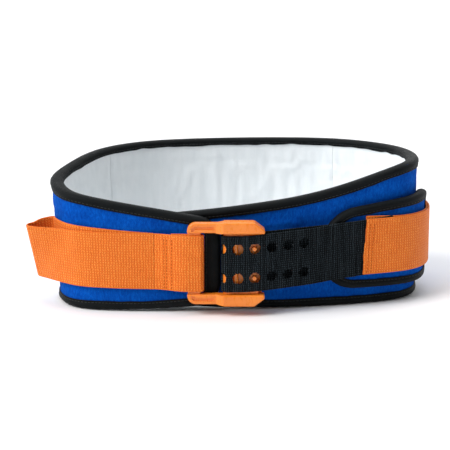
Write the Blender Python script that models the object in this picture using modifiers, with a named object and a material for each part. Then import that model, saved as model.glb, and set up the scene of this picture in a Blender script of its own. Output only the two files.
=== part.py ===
"""Padded transfer belt with a self-locking front buckle, for Blender 4.5.

The belt stands on its lower edge, closed, as it would round a waist. +X is to the right seen from the
front, +Y to the back and +Z up. Every soft layer is a sheet that follows the belt's plan curve.
"""

import math

import bmesh
import bpy
from mathutils import Matrix, Vector

MM = 0.001
GAP = 0.3 * MM  # air between two faces that touch on the real belt

# Padded body: plan points of its middle layer, from the left end (on top) round the back to the right end
WRAP = [
    (-5, -82.6), (-50, -80.5), (-100, -78), (-136, -67), (-152, -34), (-143, 4), (-115, 52),
    (-68, 88), (0, 105), (74, 107), (122, 93), (159, 58), (172, 14), (164, -28), (129, -50),
    (67, -65), (4, -72), (-40, -70), (-80, -66),
]
FOAM = 6.4 * MM
CLOTH = 0.8 * MM
BACK_HEIGHT = 124.6 * MM
LEFT_TAPER = (262 * MM, 0.165)  # how far from an end its top edge starts to fall, and how steeply
RIGHT_TAPER = (246 * MM, 0.29)
RIGHT_EASE = (158 * MM, 0.175)  # where the right edge levels out, and by how much
TAPER_BLEND = 3 * MM
END_LIFT = 8 * MM
LIFT_LENGTH = 40 * MM
LEFT_CORNER = 17 * MM
RIGHT_CORNER = 22 * MM
LEAN = 7 * MM  # the left side leans in by this much at the floor
LEAN_FROM = -40 * MM
LEAN_WIDTH = 116 * MM
TAPE_OUTER_LEG = 6.9 * MM
TAPE_INNER_LEG = 5.4 * MM
TAPE_END_LEG = 6 * MM  # how much wider the outer leg is across the left end, behind the buckle
FOOT = 1.1 * MM  # the binding under the body's lower edge
SEAM_LEFT = 0.2946  # the lining's two seams, as shares of the body's length
SEAM_RIGHT = 0.551

SURFACE = FOAM / 2 + GAP + CLOTH  # from the body's middle layer to either face

# Anchor pad on the front right, and the layers over it, as distances outside the body's middle layer
PAD_LEFT = Vector((82.5, -62)) * MM
PAD_RIGHT = Vector((172, 6)) * MM
PAD_FOAM = 4.0 * MM
PAD_LEFT_CORNER = 30 * MM
PAD_RIGHT_CORNER = 20 * MM
PAD_HOOK = SURFACE + GAP + 0.5 * MM
PAD_MIDDLE = SURFACE + GAP + 1.0 * MM + GAP + CLOTH + GAP + PAD_FOAM / 2
PAD_FACE = PAD_MIDDLE + PAD_FOAM / 2 + GAP + CLOTH

# Webbing
WEB_WIDTH = 50 * MM
WEB = 1.6 * MM
STEP_OUT = WEB + GAP  # from one webbing layer to the next
STRAP_LOWER = PAD_FACE + GAP + CLOTH + GAP + WEB / 2
STRAP_UPPER = STRAP_LOWER + STEP_OUT
TAB_OUTER = STRAP_UPPER + STEP_OUT
HANDLE_BASE = SURFACE + GAP + WEB / 2
HANDLE_FRONT = HANDLE_BASE + STEP_OUT
HAND_TIP = Vector((-172.5, -50)) * MM

# Buckle, in plan and height
BUCKLE_Z = 46.2 * MM
BAR_LEFT = -32.5 * MM
BAR_RIGHT = -21 * MM
BUCKLE_RIGHT = 34.5 * MM
BAR_FRONT = -96 * MM
BAR_BACK = -91 * MM
BAND_FRONT = -98.4 * MM
BAND_HALF = 36 * MM
ARM_HALF = 37.2 * MM
ARM_FRONT = -102.5 * MM
ARM_BACK = -88 * MM
ARM_LEFT = -1 * MM
RAMP_LEFT = -9 * MM  # where the band starts to rise to the arm
WINDOW_HALF = 27.2 * MM
CHANNEL = (6.7 * MM, 27.5 * MM)  # where the arms' spring channels start and end, in X
CHANNEL_DEPTH = 5 * MM
NOSE = Vector((3.4, -93)) * MM
NOSE_R = 5.0 * MM
NOSE_RIGHT = 6.3 * MM
BAR_HALF = WINDOW_HALF - GAP
SLIDER_RIGHT = 29 * MM
LUG = (7 * MM, 12 * MM)
SPRING_R = 1.7 * MM
SPRING_WIRE = 0.3 * MM
SPRING_TURNS = 5
PIVOT = Vector((9.3, -94.6)) * MM
PIN_R = 1.2 * MM
HUB_R = 2.4 * MM
PRONG_X = 25.4 * MM
PRONG_R = 2.4 * MM
PRONG_TIP_R = 1.8 * MM
HOLE_R = 4.8 * MM
HOLE_PITCH = 14.8 * MM
HOLE_ROW = 13 * MM  # half the distance between the two rows
FIRST_HOLE_X = 11 * MM
LAST_HOLE_X = 70.2 * MM
STITCH_R = 0.25 * MM


def clear_scene():
    for obj in list(bpy.data.objects):
        bpy.data.objects.remove(obj, do_unlink=True)


def new_collection(name):
    made = bpy.data.collections.new(name)
    bpy.context.scene.collection.children.link(made)
    return made


clear_scene()
BELT = new_collection("transfer_belt")
CUTTERS = new_collection("cutters")
ORIGIN = bpy.data.objects.new("belt_origin", None)
BELT.objects.link(ORIGIN)


# ---------------------------------------------------------------- materials

def material(name, colour, roughness, metallic=0.0):
    made = bpy.data.materials.new(name)
    made.use_nodes = True
    shader = made.node_tree.nodes["Principled BSDF"]
    shader.inputs["Base Color"].default_value = (*colour, 1)
    shader.inputs["Roughness"].default_value = roughness
    shader.inputs["Metallic"].default_value = metallic
    return made


BLUE = material("blue_fabric", (0.01, 0.09, 0.48), 0.9)
WHITE = material("white_lining", (0.82, 0.86, 0.88), 0.85)
TAPE = material("black_binding", (0.02, 0.022, 0.024), 0.6)
PADDING = material("padding_foam", (0.55, 0.55, 0.52), 0.95)
ORANGE_WEB = material("orange_webbing", (0.86, 0.2, 0.02), 0.75)
BLACK_WEB = material("black_webbing", (0.018, 0.022, 0.026), 0.7)
HOOK = material("hook_tape", (0.03, 0.03, 0.03), 0.9)
PLASTIC = material("orange_plastic", (0.9, 0.27, 0.03), 0.35)
STEEL = material("spring_steel", (0.6, 0.6, 0.62), 0.3, 1.0)


# ---------------------------------------------------------------- plan curves

class Route:
    """A smooth plan curve through a few points, read by the length along it."""

    STEPS = 20

    def __init__(self, points):
        ends = [2 * points[0] - points[1], *points, 2 * points[-1] - points[-2]]
        self.line = []
        for a, b, c, d in zip(ends, ends[1:], ends[2:], ends[3:]):
            for k in range(self.STEPS):
                t = k / self.STEPS
                self.line.append(
                    0.5 * (2 * b + (c - a) * t + (2 * a - 5 * b + 4 * c - d) * t**2
                           + (3 * b - a - 3 * c + d) * t**3)
                )
        self.line.append(ends[-2])
        self.run = [0.0]
        for a, b in zip(self.line, self.line[1:]):
            self.run.append(self.run[-1] + (b - a).length)
        self.length = self.run[-1]

    def _place(self, s):
        s = min(max(s, 0.0), self.length)
        low, high = 0, len(self.run) - 1
        while high - low > 1:
            middle = (low + high) // 2
            if self.run[middle] <= s:
                low = middle
            else:
                high = middle
        share = (s - self.run[low]) / max(self.run[high] - self.run[low], 1e-9)
        return low, high, share

    def point(self, s):
        """The point at length s; past an end, the curve runs straight on."""
        if s < 0:
            return self.line[0] + (self.line[1] - self.line[0]).normalized() * s
        if s > self.length:
            return self.line[-1] + (self.line[-1] - self.line[-2]).normalized() * (s - self.length)
        low, high, share = self._place(s)
        return self.line[low].lerp(self.line[high], share)

    def normal(self, s, reach=1.5 * MM):
        """Unit vector to the left of the direction of travel: away from the waist on the body."""
        along = self.point(s + reach) - self.point(s - reach)
        return Vector((-along.y, along.x)).normalized()

    def nearest(self, x, y, start=0.0, end=None):
        """The length along the curve of its point closest to x, y, looked for between start and end."""
        end = self.length if end is None else end
        target = Vector((x, y))
        steps = 400
        return min(
            (start + (end - start) * k / steps for k in range(steps + 1)),
            key=lambda s: (self.point(s).xy - target).length,
        )


BODY = Route([Vector(p) * MM for p in WRAP])
HALFWAY = BODY.length / 2


def leaned(x, y, z, middle_x):
    """A point of the belt moved by the left side's lean, which goes by the body's middle layer."""
    share = min(middle_x - LEAN_FROM, 0.0) / LEAN_WIDTH
    return Vector((x + LEAN * share * share * (1 - z / BACK_HEIGHT), y, z))


def beside(s, out):
    """The plan point at length s round the body, out metres outside its middle layer."""
    return BODY.point(s) + BODY.normal(s) * out


def on_body(s, out, z):
    p = beside(s, out)
    return leaned(p.x, p.y, z, BODY.point(s).x)


def body_top(s):
    fall = 0.0
    for near, (reach, slope) in ((s, LEFT_TAPER), (BODY.length - s, RIGHT_TAPER)):
        fall += TAPER_BLEND * math.log1p(math.exp((reach - near) * slope / TAPER_BLEND))
    reach, slope = RIGHT_EASE
    ease = TAPER_BLEND * math.log1p(math.exp((reach - BODY.length + s) * slope / TAPER_BLEND))
    return BACK_HEIGHT - fall + ease


def body_bottom(s):
    return FOOT + END_LIFT * math.exp(-min(s, BODY.length - s) / LIFT_LENGTH)


def bend_step(s, longest):
    """A step round the body that keeps a straight chord within about 0.2 mm of the curve."""
    turn = BODY.normal(s - 4 * MM).angle(BODY.normal(s + 4 * MM))
    radius = 8 * MM / max(turn, 1e-3)
    return min(longest, max(4.5 * MM, math.sqrt(1.6 * MM * radius)))


class Panel:
    """A flat pattern laid on the body: two ends with rounded corners, a lower and an upper edge."""

    ARC = 6

    def __init__(self, start, end, low, high, start_corner, end_corner, step):
        self.start, self.end = start, end
        self.low, self.high = low, high
        self.corners = (start_corner, end_corner)
        turns = [math.pi / 2 * k / self.ARC for k in range(self.ARC + 1)]
        first = [start + start_corner * (1 - math.cos(t)) for t in turns]
        last = [end - end_corner * (1 - math.cos(t)) for t in reversed(turns)]
        inner, s = [], first[-1] + bend_step(first[-1], step)
        while s < last[0] - 2 * MM:
            inner.append(s)
            s += bend_step(s, step)
        self.places = [*first, *inner, *last]

    def drop(self, s):
        """How much the corners take off the panel's height at length s, at each edge."""
        for near, r in zip((s - self.start, self.end - s), self.corners):
            if near < r:
                return r - math.sqrt(max(0.0, r * r - (r - near) ** 2))
        return 0.0

    def span(self, s):
        return self.low(s) + self.drop(s), self.high(s) - self.drop(s)

    def rows(self, out, start=None, end=None, across=1):
        """Rows of points for a sheet out metres outside the body's middle layer."""
        start = self.start if start is None else start
        end = self.end if end is None else end
        places = [s for s in self.places if start + 2 * MM < s < end - 2 * MM]
        if start == self.start:
            places = [s for s in self.places if s < end - 2 * MM]
        if end == self.end:
            places = [s for s in self.places if s > start + 2 * MM]
        if start == self.start and end == self.end:
            places = list(self.places)
        if start > self.start:
            places.insert(0, start)
        if end < self.end:
            places.append(end)
        made = []
        for s in places:
            low, high = self.span(s)
            made.append([on_body(s, out, low + (high - low) * k / across) for k in range(across + 1)])
        return made

    def edge(self):
        """The outline as (s, z), anticlockwise with s to the right."""
        lower = [(s, self.span(s)[0]) for s in self.places]
        upper = [(s, self.span(s)[1]) for s in reversed(self.places)]
        return [Vector(p) for p in (*lower, *upper)]


# ---------------------------------------------------------------- building blocks

def add(name, mesh, paint):
    obj = bpy.data.objects.new(name, mesh)
    mesh.materials.append(paint)
    BELT.objects.link(obj)
    obj.parent = ORIGIN
    return obj


def sheet(name, rows, thickness, paint, closed=False):
    """A sheet of cloth: a quad surface through rows of points, solidified evenly about itself."""
    bm = bmesh.new()
    grid = [[bm.verts.new(p) for p in row] for row in rows]
    if closed:
        grid.append(grid[0])
    for a, b in zip(grid, grid[1:]):
        for k in range(len(a) - 1):
            bm.faces.new((a[k], a[k + 1], b[k + 1], b[k]))
    mesh = bpy.data.meshes.new(name)
    bm.to_mesh(mesh)
    bm.free()
    obj = add(name, mesh, paint)
    solid = obj.modifiers.new("thickness", "SOLIDIFY")
    solid.thickness = thickness
    solid.offset = 0
    solid.use_even_offset = True
    return obj


def rounded(corners, steps=5):
    """An outline from (x, y, radius) corners, with each radius as an arc."""
    points = []
    count = len(corners)
    for k, (x, y, r) in enumerate(corners):
        here = Vector((x, y))
        if not r:
            points.append(here)
            continue
        before = Vector(corners[k - 1][:2]) - here
        after = Vector(corners[(k + 1) % count][:2]) - here
        angle = before.angle(after)
        back = r / math.tan(angle / 2)
        centre = here + (before.normalized() + after.normalized()).normalized() * (r / math.sin(angle / 2))
        first = here + before.normalized() * back - centre
        turn = first.angle_signed(here + after.normalized() * back - centre)
        for i in range(steps + 1):
            points.append(centre + Matrix.Rotation(-turn * i / steps, 2) @ first)
    return points


def slab(name, outline, low, high, upright=False, helper=False, paint=PLASTIC):
    """A flat outline given thickness from low to high: along Z, or along Y when it stands upright."""
    curve = bpy.data.curves.new(name, "CURVE")
    curve.dimensions = "2D"
    curve.fill_mode = "BOTH"
    curve.extrude = (high - low) / 2
    spline = curve.splines.new("POLY")
    spline.points.add(len(outline) - 1)
    for target, p in zip(spline.points, outline):
        target.co = (p.x, p.y, 0, 1)
    spline.use_cyclic_u = True
    flat = bpy.data.objects.new(name + "_curve", curve)
    CUTTERS.objects.link(flat)
    if upright:
        flat.rotation_euler = (math.pi / 2, 0, 0)
        flat.location = (0, (low + high) / 2, 0)
    else:
        flat.location = (0, 0, (low + high) / 2)
    return solid_from(flat, name, helper, paint)


def solid_from(curve_object, name, helper, paint):
    """The welded mesh of a curve object, in place, as a part or as a helper."""
    bpy.context.view_layer.update()
    graph = bpy.context.evaluated_depsgraph_get()
    mesh = bpy.data.meshes.new_from_object(curve_object.evaluated_get(graph))
    mesh.transform(curve_object.matrix_world)
    bm = bmesh.new()
    bm.from_mesh(mesh)
    bmesh.ops.remove_doubles(bm, verts=bm.verts, dist=1e-6)
    bmesh.ops.dissolve_limit(bm, angle_limit=math.radians(0.5), verts=bm.verts, edges=bm.edges)
    bmesh.ops.recalc_face_normals(bm, faces=bm.faces)
    bm.to_mesh(mesh)
    bm.free()
    bpy.data.objects.remove(curve_object)
    mesh.materials.clear()
    return hidden(name, mesh) if helper else add(name, mesh, paint)


def hidden(name, mesh):
    obj = bpy.data.objects.new(name, mesh)
    CUTTERS.objects.link(obj)
    obj.parent = ORIGIN
    obj.hide_render = True
    obj.display_type = "WIRE"
    return obj


def block(name, low, high, helper=True, paint=PLASTIC):
    """A box between two corners."""
    bm = bmesh.new()
    bmesh.ops.create_cube(bm, size=1)
    size = Vector(high) - Vector(low)
    bmesh.ops.scale(bm, vec=size, verts=bm.verts)
    bmesh.ops.translate(bm, vec=(Vector(low) + Vector(high)) / 2, verts=bm.verts)
    mesh = bpy.data.meshes.new(name)
    bm.to_mesh(mesh)
    bm.free()
    return hidden(name, mesh) if helper else add(name, mesh, paint)


def rod(name, start, end, radius, sides=16, radius_end=None, helper=True, paint=STEEL):
    """A round bar from start to end."""
    bm = bmesh.new()
    add_rod(bm, start, end, radius, sides, radius_end)
    mesh = bpy.data.meshes.new(name)
    bm.to_mesh(mesh)
    bm.free()
    return hidden(name, mesh) if helper else add(name, mesh, paint)


def add_rod(bm, start, end, radius, sides=16, radius_end=None):
    start, end = Vector(start), Vector(end)
    axis = end - start
    turn = axis.to_track_quat("Z", "Y").to_matrix().to_4x4()
    bmesh.ops.create_cone(
        bm, cap_ends=True, segments=sides, radius1=radius,
        radius2=radius if radius_end is None else radius_end, depth=axis.length,
        matrix=Matrix.Translation((start + end) / 2) @ turn,
    )


def boolean(obj, other, operation="DIFFERENCE"):
    step = obj.modifiers.new(other.name, "BOOLEAN")
    step.operation = operation
    step.object = other


def smooth(obj, degrees=35):
    obj.data.shade_smooth()
    obj.data.set_sharp_from_angle(angle=math.radians(degrees))


def bind(name, panel, middle, half, outer_leg, inner_leg, run=None, end_leg=0.0):
    """Binding tape folded over a panel's edge: middle and half place the faces it holds. A run is part of the edge."""
    outline = run or panel.edge()
    last = len(outline) - 1
    away = GAP + CLOTH / 2
    rows = []
    for k, here in enumerate(outline):
        if run:
            along = outline[min(k + 1, last)] - outline[max(k - 1, 0)]
        else:
            along = outline[(k + 1) % len(outline)] - outline[k - 1]
        inward = Vector((-along.y, along.x)).normalized()
        row = []
        leg = outer_leg + end_leg * max(inward.x, 0.0) ** 2
        for reach, share in (
            (leg, 1), (-0.2 * MM, 1), (-away, 0.86), (-away, -0.86), (-0.2 * MM, -1), (inner_leg, -1),
        ):
            place = here + inward * reach
            row.append(on_body(place.x, middle + share * (half + away), place.y))
        rows.append(row)
    return sheet(name, rows, CLOTH, TAPE, closed=not run)


def stations(start, end, step, fine_from=0.0, fine_to=0.0, fine=1.2 * MM):
    """Lengths from start to end, closer together between fine_from and fine_to."""
    places, s = [], start
    while s < end - 0.4 * MM:
        places.append(s)
        s += fine if fine_from - step < s < fine_to else step
    return [*places, end]


def band(name, route, places, paint, width=WEB_WIDTH, thickness=WEB, lean=None):
    """Webbing on edge along a 3-D route through its middle line."""
    rows = []
    for s in places:
        p = route.point(s)
        middle_x = BODY.point(BODY.nearest(p.x, p.y, end=HALFWAY)).x if lean else 0.0
        row = []
        for k in range(3):
            rise = width * (k - 1) / 2
            x, y = p.x, p.y
            if lean:
                shift = lean(s) * rise / width
                x, y = x + shift.x, y + shift.y
            row.append(leaned(x, y, p.z + rise, middle_x))
        rows.append(row)
    return sheet(name, rows, thickness, paint)


def arc(centre, radius, start, end, count):
    """Plan points on a circle, from start to end degrees."""
    turns = [math.radians(start + (end - start) * k / count) for k in range(count + 1)]
    return [centre + Vector((math.cos(t), math.sin(t))) * radius for t in turns]


def raise_to(points, start, end):
    """Plan points lifted to heights that go evenly from start to end, in metres."""
    last = max(len(points) - 1, 1)
    return [Vector((p.x, p.y, start + (end - start) * k / last)) for k, p in enumerate(points)]


# ---------------------------------------------------------------- padded body

body = Panel(0.0, BODY.length, body_bottom, body_top, LEFT_CORNER, RIGHT_CORNER, 14 * MM)
CLOTH_OUT = FOAM / 2 + GAP + CLOTH / 2

sheet("foam_core", body.rows(0.0), FOAM, PADDING)
sheet("outer_cover", body.rows(CLOTH_OUT), CLOTH, BLUE)
seams = (0.0, SEAM_LEFT * BODY.length, SEAM_RIGHT * BODY.length, BODY.length)
for k, name in enumerate(("lining_left", "lining_back", "lining_right")):
    start = seams[k] + (GAP / 2 if k else 0)
    end = seams[k + 1] - (GAP / 2 if k < 2 else 0)
    sheet(name, body.rows(-CLOTH_OUT, start, end), CLOTH, WHITE)

# The tape round the body is two runs that meet half way up each end
outline = body.edge()
count = len(body.places)
meet = (outline[0] + outline[-1]) / 2, (outline[count - 1] + outline[count]) / 2
part = Vector((0, GAP / 2))
lower_run = [meet[0] - part, *outline[:count], meet[1] - part]
upper_run = [meet[1] + part, *outline[count:], meet[0] + part]
for name, run in (("edge_binding_lower", lower_run), ("edge_binding_upper", upper_run)):
    bind(name, body, 0.0, SURFACE, TAPE_OUTER_LEG, TAPE_INNER_LEG, run, TAPE_END_LEG)

closure = Panel(14 * MM, 62 * MM, lambda s: 24 * MM, lambda s: 62 * MM, 4 * MM, 4 * MM, 8 * MM)
sheet("closure_hook", closure.rows(-(SURFACE + GAP + 0.4 * MM)), 0.8 * MM, HOOK)

# ---------------------------------------------------------------- anchor pad

pad_start = BODY.nearest(*PAD_RIGHT, start=HALFWAY)
pad_end = BODY.nearest(*PAD_LEFT, start=HALFWAY)


def pad_low(s):
    return 16 * MM + 2 * MM * (s - pad_start) / (pad_end - pad_start)


def pad_high(s):
    share = (s - pad_start) / (pad_end - pad_start)
    return 96 * MM - 13 * MM * share * share


pad = Panel(pad_start, pad_end, pad_low, pad_high, PAD_RIGHT_CORNER, PAD_LEFT_CORNER, 8 * MM)
PAD_CLOTH = PAD_FOAM / 2 + GAP + CLOTH / 2
sheet("pad_foam", pad.rows(PAD_MIDDLE), PAD_FOAM, PADDING)
sheet("pad_cover", pad.rows(PAD_MIDDLE + PAD_CLOTH), CLOTH, BLUE)
sheet("pad_backing", pad.rows(PAD_MIDDLE - PAD_CLOTH), CLOTH, BLUE)
bind("pad_binding", pad, PAD_MIDDLE, PAD_CLOTH + CLOTH / 2, 6.8 * MM, 6 * MM)
hook = Panel(
    pad_start + 14 * MM, pad_end - 14 * MM, lambda s: 32 * MM, lambda s: 74 * MM, 4 * MM, 4 * MM, 8 * MM
)
sheet("pad_hook", hook.rows(PAD_HOOK), 1.0 * MM, HOOK)

# ---------------------------------------------------------------- webbing

# Hand loop: sewn on the body's front left, out to the tip and back over itself to the buckle
base_end = BODY.nearest(-0.062, -0.080, end=0.3)
base_turn = BODY.nearest(-0.150, -0.046, end=0.3)
front_leave = BODY.nearest(-0.131, -0.070, end=0.3)
base = [
    beside(base_end + (base_turn - base_end) * k / 20, HANDLE_BASE + 1.2 * MM * (k / 20) ** 4) for k in range(21)
]
tip = arc(HAND_TIP, 3.6 * MM, 75, 239, 6)
front = [beside(front_leave - (front_leave - base_end) * k / 12, HANDLE_FRONT + 0.2 * MM) for k in range(13)]
outward = [base[-1].lerp(tip[0], share) for share in (0.58, 0.88)]
onward = [tip[-1].lerp(front[0], share) for share in (0.05, 0.15, 0.4)]
hand = Route(
    raise_to(base, 45.9 * MM, 53.5 * MM) + raise_to(outward, 52 * MM, 50 * MM)
    + raise_to(tip, 49 * MM, 47.4 * MM) + raise_to(onward, 47.3 * MM, 47 * MM) + raise_to(front, 46.8 * MM, BUCKLE_Z)
)
tip_run = hand.nearest(HAND_TIP.x - 3.6 * MM, HAND_TIP.y)


def hand_lean(s):
    """The loop's upper edge leans forward at the tip."""
    share = math.exp(-(((s - tip_run) / (13 * MM if s < tip_run else 28 * MM)) ** 2))
    return Vector((-5 * MM, -17 * MM)) * share


band("handle_webbing", hand, stations(0, hand.length, 5 * MM, tip_run - 9 * MM, tip_run + 9 * MM), ORANGE_WEB,
     lean=hand_lean)

# The same webbing folded round the buckle's left bar
wrap_y = (BAR_FRONT + BAR_BACK) / 2
wrap_r = (BAR_BACK - BAR_FRONT) / 2 + 1.3 * GAP + WEB / 2
fold_start = beside(base_end - GAP, HANDLE_FRONT + 0.2 * MM)
fold = [
    Vector((fold_start.x + GAP, fold_start.y)), Vector((-0.052, -0.0905)), Vector((-0.042, -0.0951)),
    Vector((-0.034, wrap_y - wrap_r)), Vector((-0.026, wrap_y - wrap_r)),
    *arc(Vector((BAR_RIGHT - wrap_r + 1.6 * GAP + WEB, wrap_y)), wrap_r, -90, 90, 8),
    Vector((-0.026, wrap_y + wrap_r)), Vector((-0.034, wrap_y + wrap_r)), Vector((-0.047, -0.0888)),
]
fold_route = Route(raise_to(fold, BUCKLE_Z, BUCKLE_Z))
fold_turn = fold_route.nearest(BAR_RIGHT + GAP + WEB / 2, wrap_y)
band("bar_loop", fold_route, stations(0, fold_route.length, 5 * MM, fold_turn - 8 * MM, fold_turn + 8 * MM),
     ORANGE_WEB)

# Perforated strap: from the pad, round the sliding bar and back over itself
strap_r = NOSE_R + GAP + WEB / 2
lower_start = BODY.nearest(0.112, -0.055, start=HALFWAY)
lower_end = BODY.nearest(0.088, -0.060, start=HALFWAY)
upper_start = BODY.nearest(0.098, -0.058, start=HALFWAY)
upper_end = BODY.nearest(0.141, -0.044, start=HALFWAY)
lower = [beside(lower_start + (lower_end - lower_start) * k / 2, STRAP_LOWER) for k in range(3)]
back = [Vector((0.066, -0.0806)), Vector((0.040, -0.0858)), Vector((0.020, NOSE.y + strap_r))]
curl = arc(NOSE, strap_r, 90, 270, 9)
front = [Vector((0.018, NOSE.y - strap_r)), Vector((0.034, -0.0982)), Vector((0.052, -0.0937)),
         Vector((0.076, -0.0850))]
upper = [beside(upper_start + (upper_end - upper_start) * k / 5, STRAP_UPPER) for k in range(6)]
strap_route = Route(
    raise_to(lower, 53 * MM, 51.5 * MM) + raise_to(back, 50 * MM, 46.6 * MM)
    + raise_to(curl, BUCKLE_Z, BUCKLE_Z) + raise_to(front, 46.4 * MM, 50.2 * MM)
    + raise_to(upper, 52.6 * MM, 56.6 * MM)
)
curl_run = strap_route.nearest(NOSE.x - strap_r, NOSE.y)
front_run = strap_route.nearest(NOSE.x, NOSE.y - strap_r, start=curl_run)
strap = band(
    "hole_strap", strap_route, stations(0, strap_route.length, 9 * MM, curl_run - 16 * MM, curl_run + 16 * MM),
    BLACK_WEB,
)

# Two rows of holes, in columns that run on round the fold
punches = bmesh.new()
first_hole = front_run + FIRST_HOLE_X - NOSE.x
column = -3
while FIRST_HOLE_X + column * HOLE_PITCH < LAST_HOLE_X + MM:
    s = first_hole + column * HOLE_PITCH
    p = strap_route.point(s)
    n = strap_route.normal(s)
    for side in (-1, 1):
        middle = Vector((p.x, p.y, p.z + side * HOLE_ROW))
        through = Vector((n.x, n.y, 0)) * 1.45 * WEB
        add_rod(punches, middle - through, middle + through, HOLE_R, 14)
    column += 1
mesh = bpy.data.meshes.new("strap_holes")
punches.to_mesh(mesh)
punches.free()
boolean(strap, hidden("strap_holes", mesh))

# Pull tab: webbing doubled over the strap's end
tab_left = BODY.nearest(0.117, -0.053, start=HALFWAY)
tab_back_left = BODY.nearest(0.1195, -0.0515, start=HALFWAY)
tab_far = BODY.nearest(0.172, 0.016, start=HALFWAY)


def tab_out(share):
    """Past the strap's end the tab's outer layer comes down on its inner one."""
    fall = min(max((share - 0.32) / 0.4, 0.0), 1.0)
    return TAB_OUTER - STEP_OUT * fall * fall * (3 - 2 * fall)


outer_run = [beside(tab_left + (tab_far - tab_left) * k / 12, tab_out(k / 12)) for k in range(13)]
turn_r = STEP_OUT / 2
middle_out = STRAP_LOWER + turn_r
tip = [
    beside(tab_far - turn_r * math.sin(math.radians(a)), middle_out + turn_r * math.cos(math.radians(a)))
    for a in (30, 60, 90, 120, 150)
]
inner_run = [beside(tab_far + (tab_back_left - tab_far) * k / 9, STRAP_LOWER) for k in range(10)]
tab_route = Route(
    raise_to(outer_run, 55.4 * MM, 55.0 * MM) + raise_to(tip, 55 * MM, 55 * MM)
    + raise_to(inner_run, 55 * MM, 55.6 * MM)
)
tab_turn = tab_route.length / 2
band("pull_tab", tab_route, stations(0, tab_route.length, 5 * MM, tab_turn - 8 * MM, tab_turn + 8 * MM), ORANGE_WEB,
     width=WEB_WIDTH)
tab_hook_panel = Panel(
    pad_start + 12 * MM, tab_back_left - 6 * MM, lambda s: 34 * MM, lambda s: 77 * MM, 3 * MM, 3 * MM, 8 * MM
)
sheet("tab_hook", tab_hook_panel.rows(PAD_FACE + GAP + 0.4 * MM), 0.8 * MM, HOOK)


def stitches(name, route, runs, side, paint):
    """One sewing thread in rows across a band, at lengths runs along its route, on one of its faces."""
    curve = bpy.data.curves.new(name, "CURVE")
    curve.dimensions = "3D"
    curve.bevel_depth = STITCH_R
    curve.bevel_resolution = 1
    curve.use_fill_caps = True
    points = []
    for k, s in enumerate(runs):
        p = route.point(s)
        n = route.normal(s) * side * (WEB / 2 + STITCH_R + 0.2 * MM)
        reach = (WEB_WIDTH / 2 - EDGE_IN) * (1 if k % 2 else -1)
        points.extend(Vector((p.x + n.x, p.y + n.y, p.z + rise)) for rise in (reach, 0.0, -reach))
    thread = curve.splines.new("POLY")
    thread.points.add(len(points) - 1)
    for target, p in zip(thread.points, points):
        target.co = (*p, 1)
    obj = bpy.data.objects.new(name + "_curve", curve)
    CUTTERS.objects.link(obj)
    return solid_from(obj, name, False, paint)


EDGE_IN = 3 * MM
stitches("bar_loop_stitches", fold_route, (9 * MM, 13 * MM, 17 * MM), -1, ORANGE_WEB)
stitches("tab_stitches", tab_route, (4 * MM, 8 * MM, 22 * MM), -1, ORANGE_WEB)

# ---------------------------------------------------------------- buckle


def at(height):
    return BUCKLE_Z + height


def soften(obj, width, segments=2):
    """Round the edges of a helper or a part before anything is joined to it or cut from it."""
    step = obj.modifiers.new("soft_edges", "BEVEL")
    step.width = width
    step.segments = segments
    step.limit_method = "ANGLE"
    step.angle_limit = math.radians(35)


def both(build):
    """Run a builder for the upper (1) and the lower (-1) side of the buckle."""
    return [build(name, side) for name, side in (("upper", 1), ("lower", -1))]


def turned(points, side):
    return points if side > 0 else [Vector((p.x, 2 * BUCKLE_Z - p.y)) for p in reversed(points)]


frame = block(
    "buckle_frame", (BAR_LEFT, BAR_FRONT, at(-30 * MM)), (BAR_RIGHT, BAR_BACK, at(30 * MM)), helper=False
)
soften(frame, 1.4 * MM, 3)


BAND_INNER = WINDOW_HALF + 0.15 * MM


def arm(name, side):
    """A thick arm that houses a spring: its outer right corner is cut off at a slant."""
    outline = rounded([
        (BUCKLE_RIGHT, at(WINDOW_HALF), 0),
        (BUCKLE_RIGHT, at(WINDOW_HALF + 3.1 * MM), 0), (25.5 * MM, at(ARM_HALF), 4 * MM),
        (ARM_LEFT + 1 * MM, at(ARM_HALF), 0), (RAMP_LEFT, at(BAND_HALF - 0.6 * MM), 0), (RAMP_LEFT, at(WINDOW_HALF), 0),
    ], 4)
    made = slab("arm_" + name, turned(outline, side), ARM_FRONT, ARM_BACK, upright=True, helper=True)
    soften(made, 1.45 * MM, 4)
    zs = sorted((at(side * 20 * MM), at(side * 45 * MM)))
    ramp = [Vector((RAMP_LEFT - 3 * MM, -108 * MM)), Vector((0, -108 * MM)), Vector((ARM_LEFT, ARM_FRONT - 0.2 * MM)),
            Vector((RAMP_LEFT + 0.6 * MM, BAND_FRONT + 0.5 * MM)), Vector((RAMP_LEFT - 3 * MM, BAND_FRONT + 0.5 * MM))]
    boolean(made, slab("ramp_" + name, ramp, *zs, helper=True))
    back = slab("arm_back_" + name, [
        Vector((RAMP_LEFT - 3 * MM, BAR_BACK)), Vector((ARM_LEFT - 0.2 * MM, BAR_BACK)),
        Vector((ARM_LEFT - 0.2 * MM, -80 * MM)), Vector((RAMP_LEFT - 3 * MM, -80 * MM)),
    ], *zs, helper=True)
    boolean(made, back)
    boolean(frame, made, "UNION")


def corner_band(name, side):
    """The raised band beside the webbing, from the bar's outer corner to the arm."""
    outline = rounded([
        (BAR_LEFT - 0.4 * MM, at(BAND_INNER), 0), (2 * MM, at(BAND_INNER), 0),
        (2 * MM, at(BAND_HALF), 0), (BAR_LEFT - 0.4 * MM, at(BAND_HALF), 7.5 * MM),
    ], 6)
    made = slab("band_" + name, turned(outline, side), BAND_FRONT, BAR_BACK + 1 * MM, upright=True, helper=True)
    soften(made, 1.2 * MM, 3)
    boolean(frame, made, "UNION")


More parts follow.
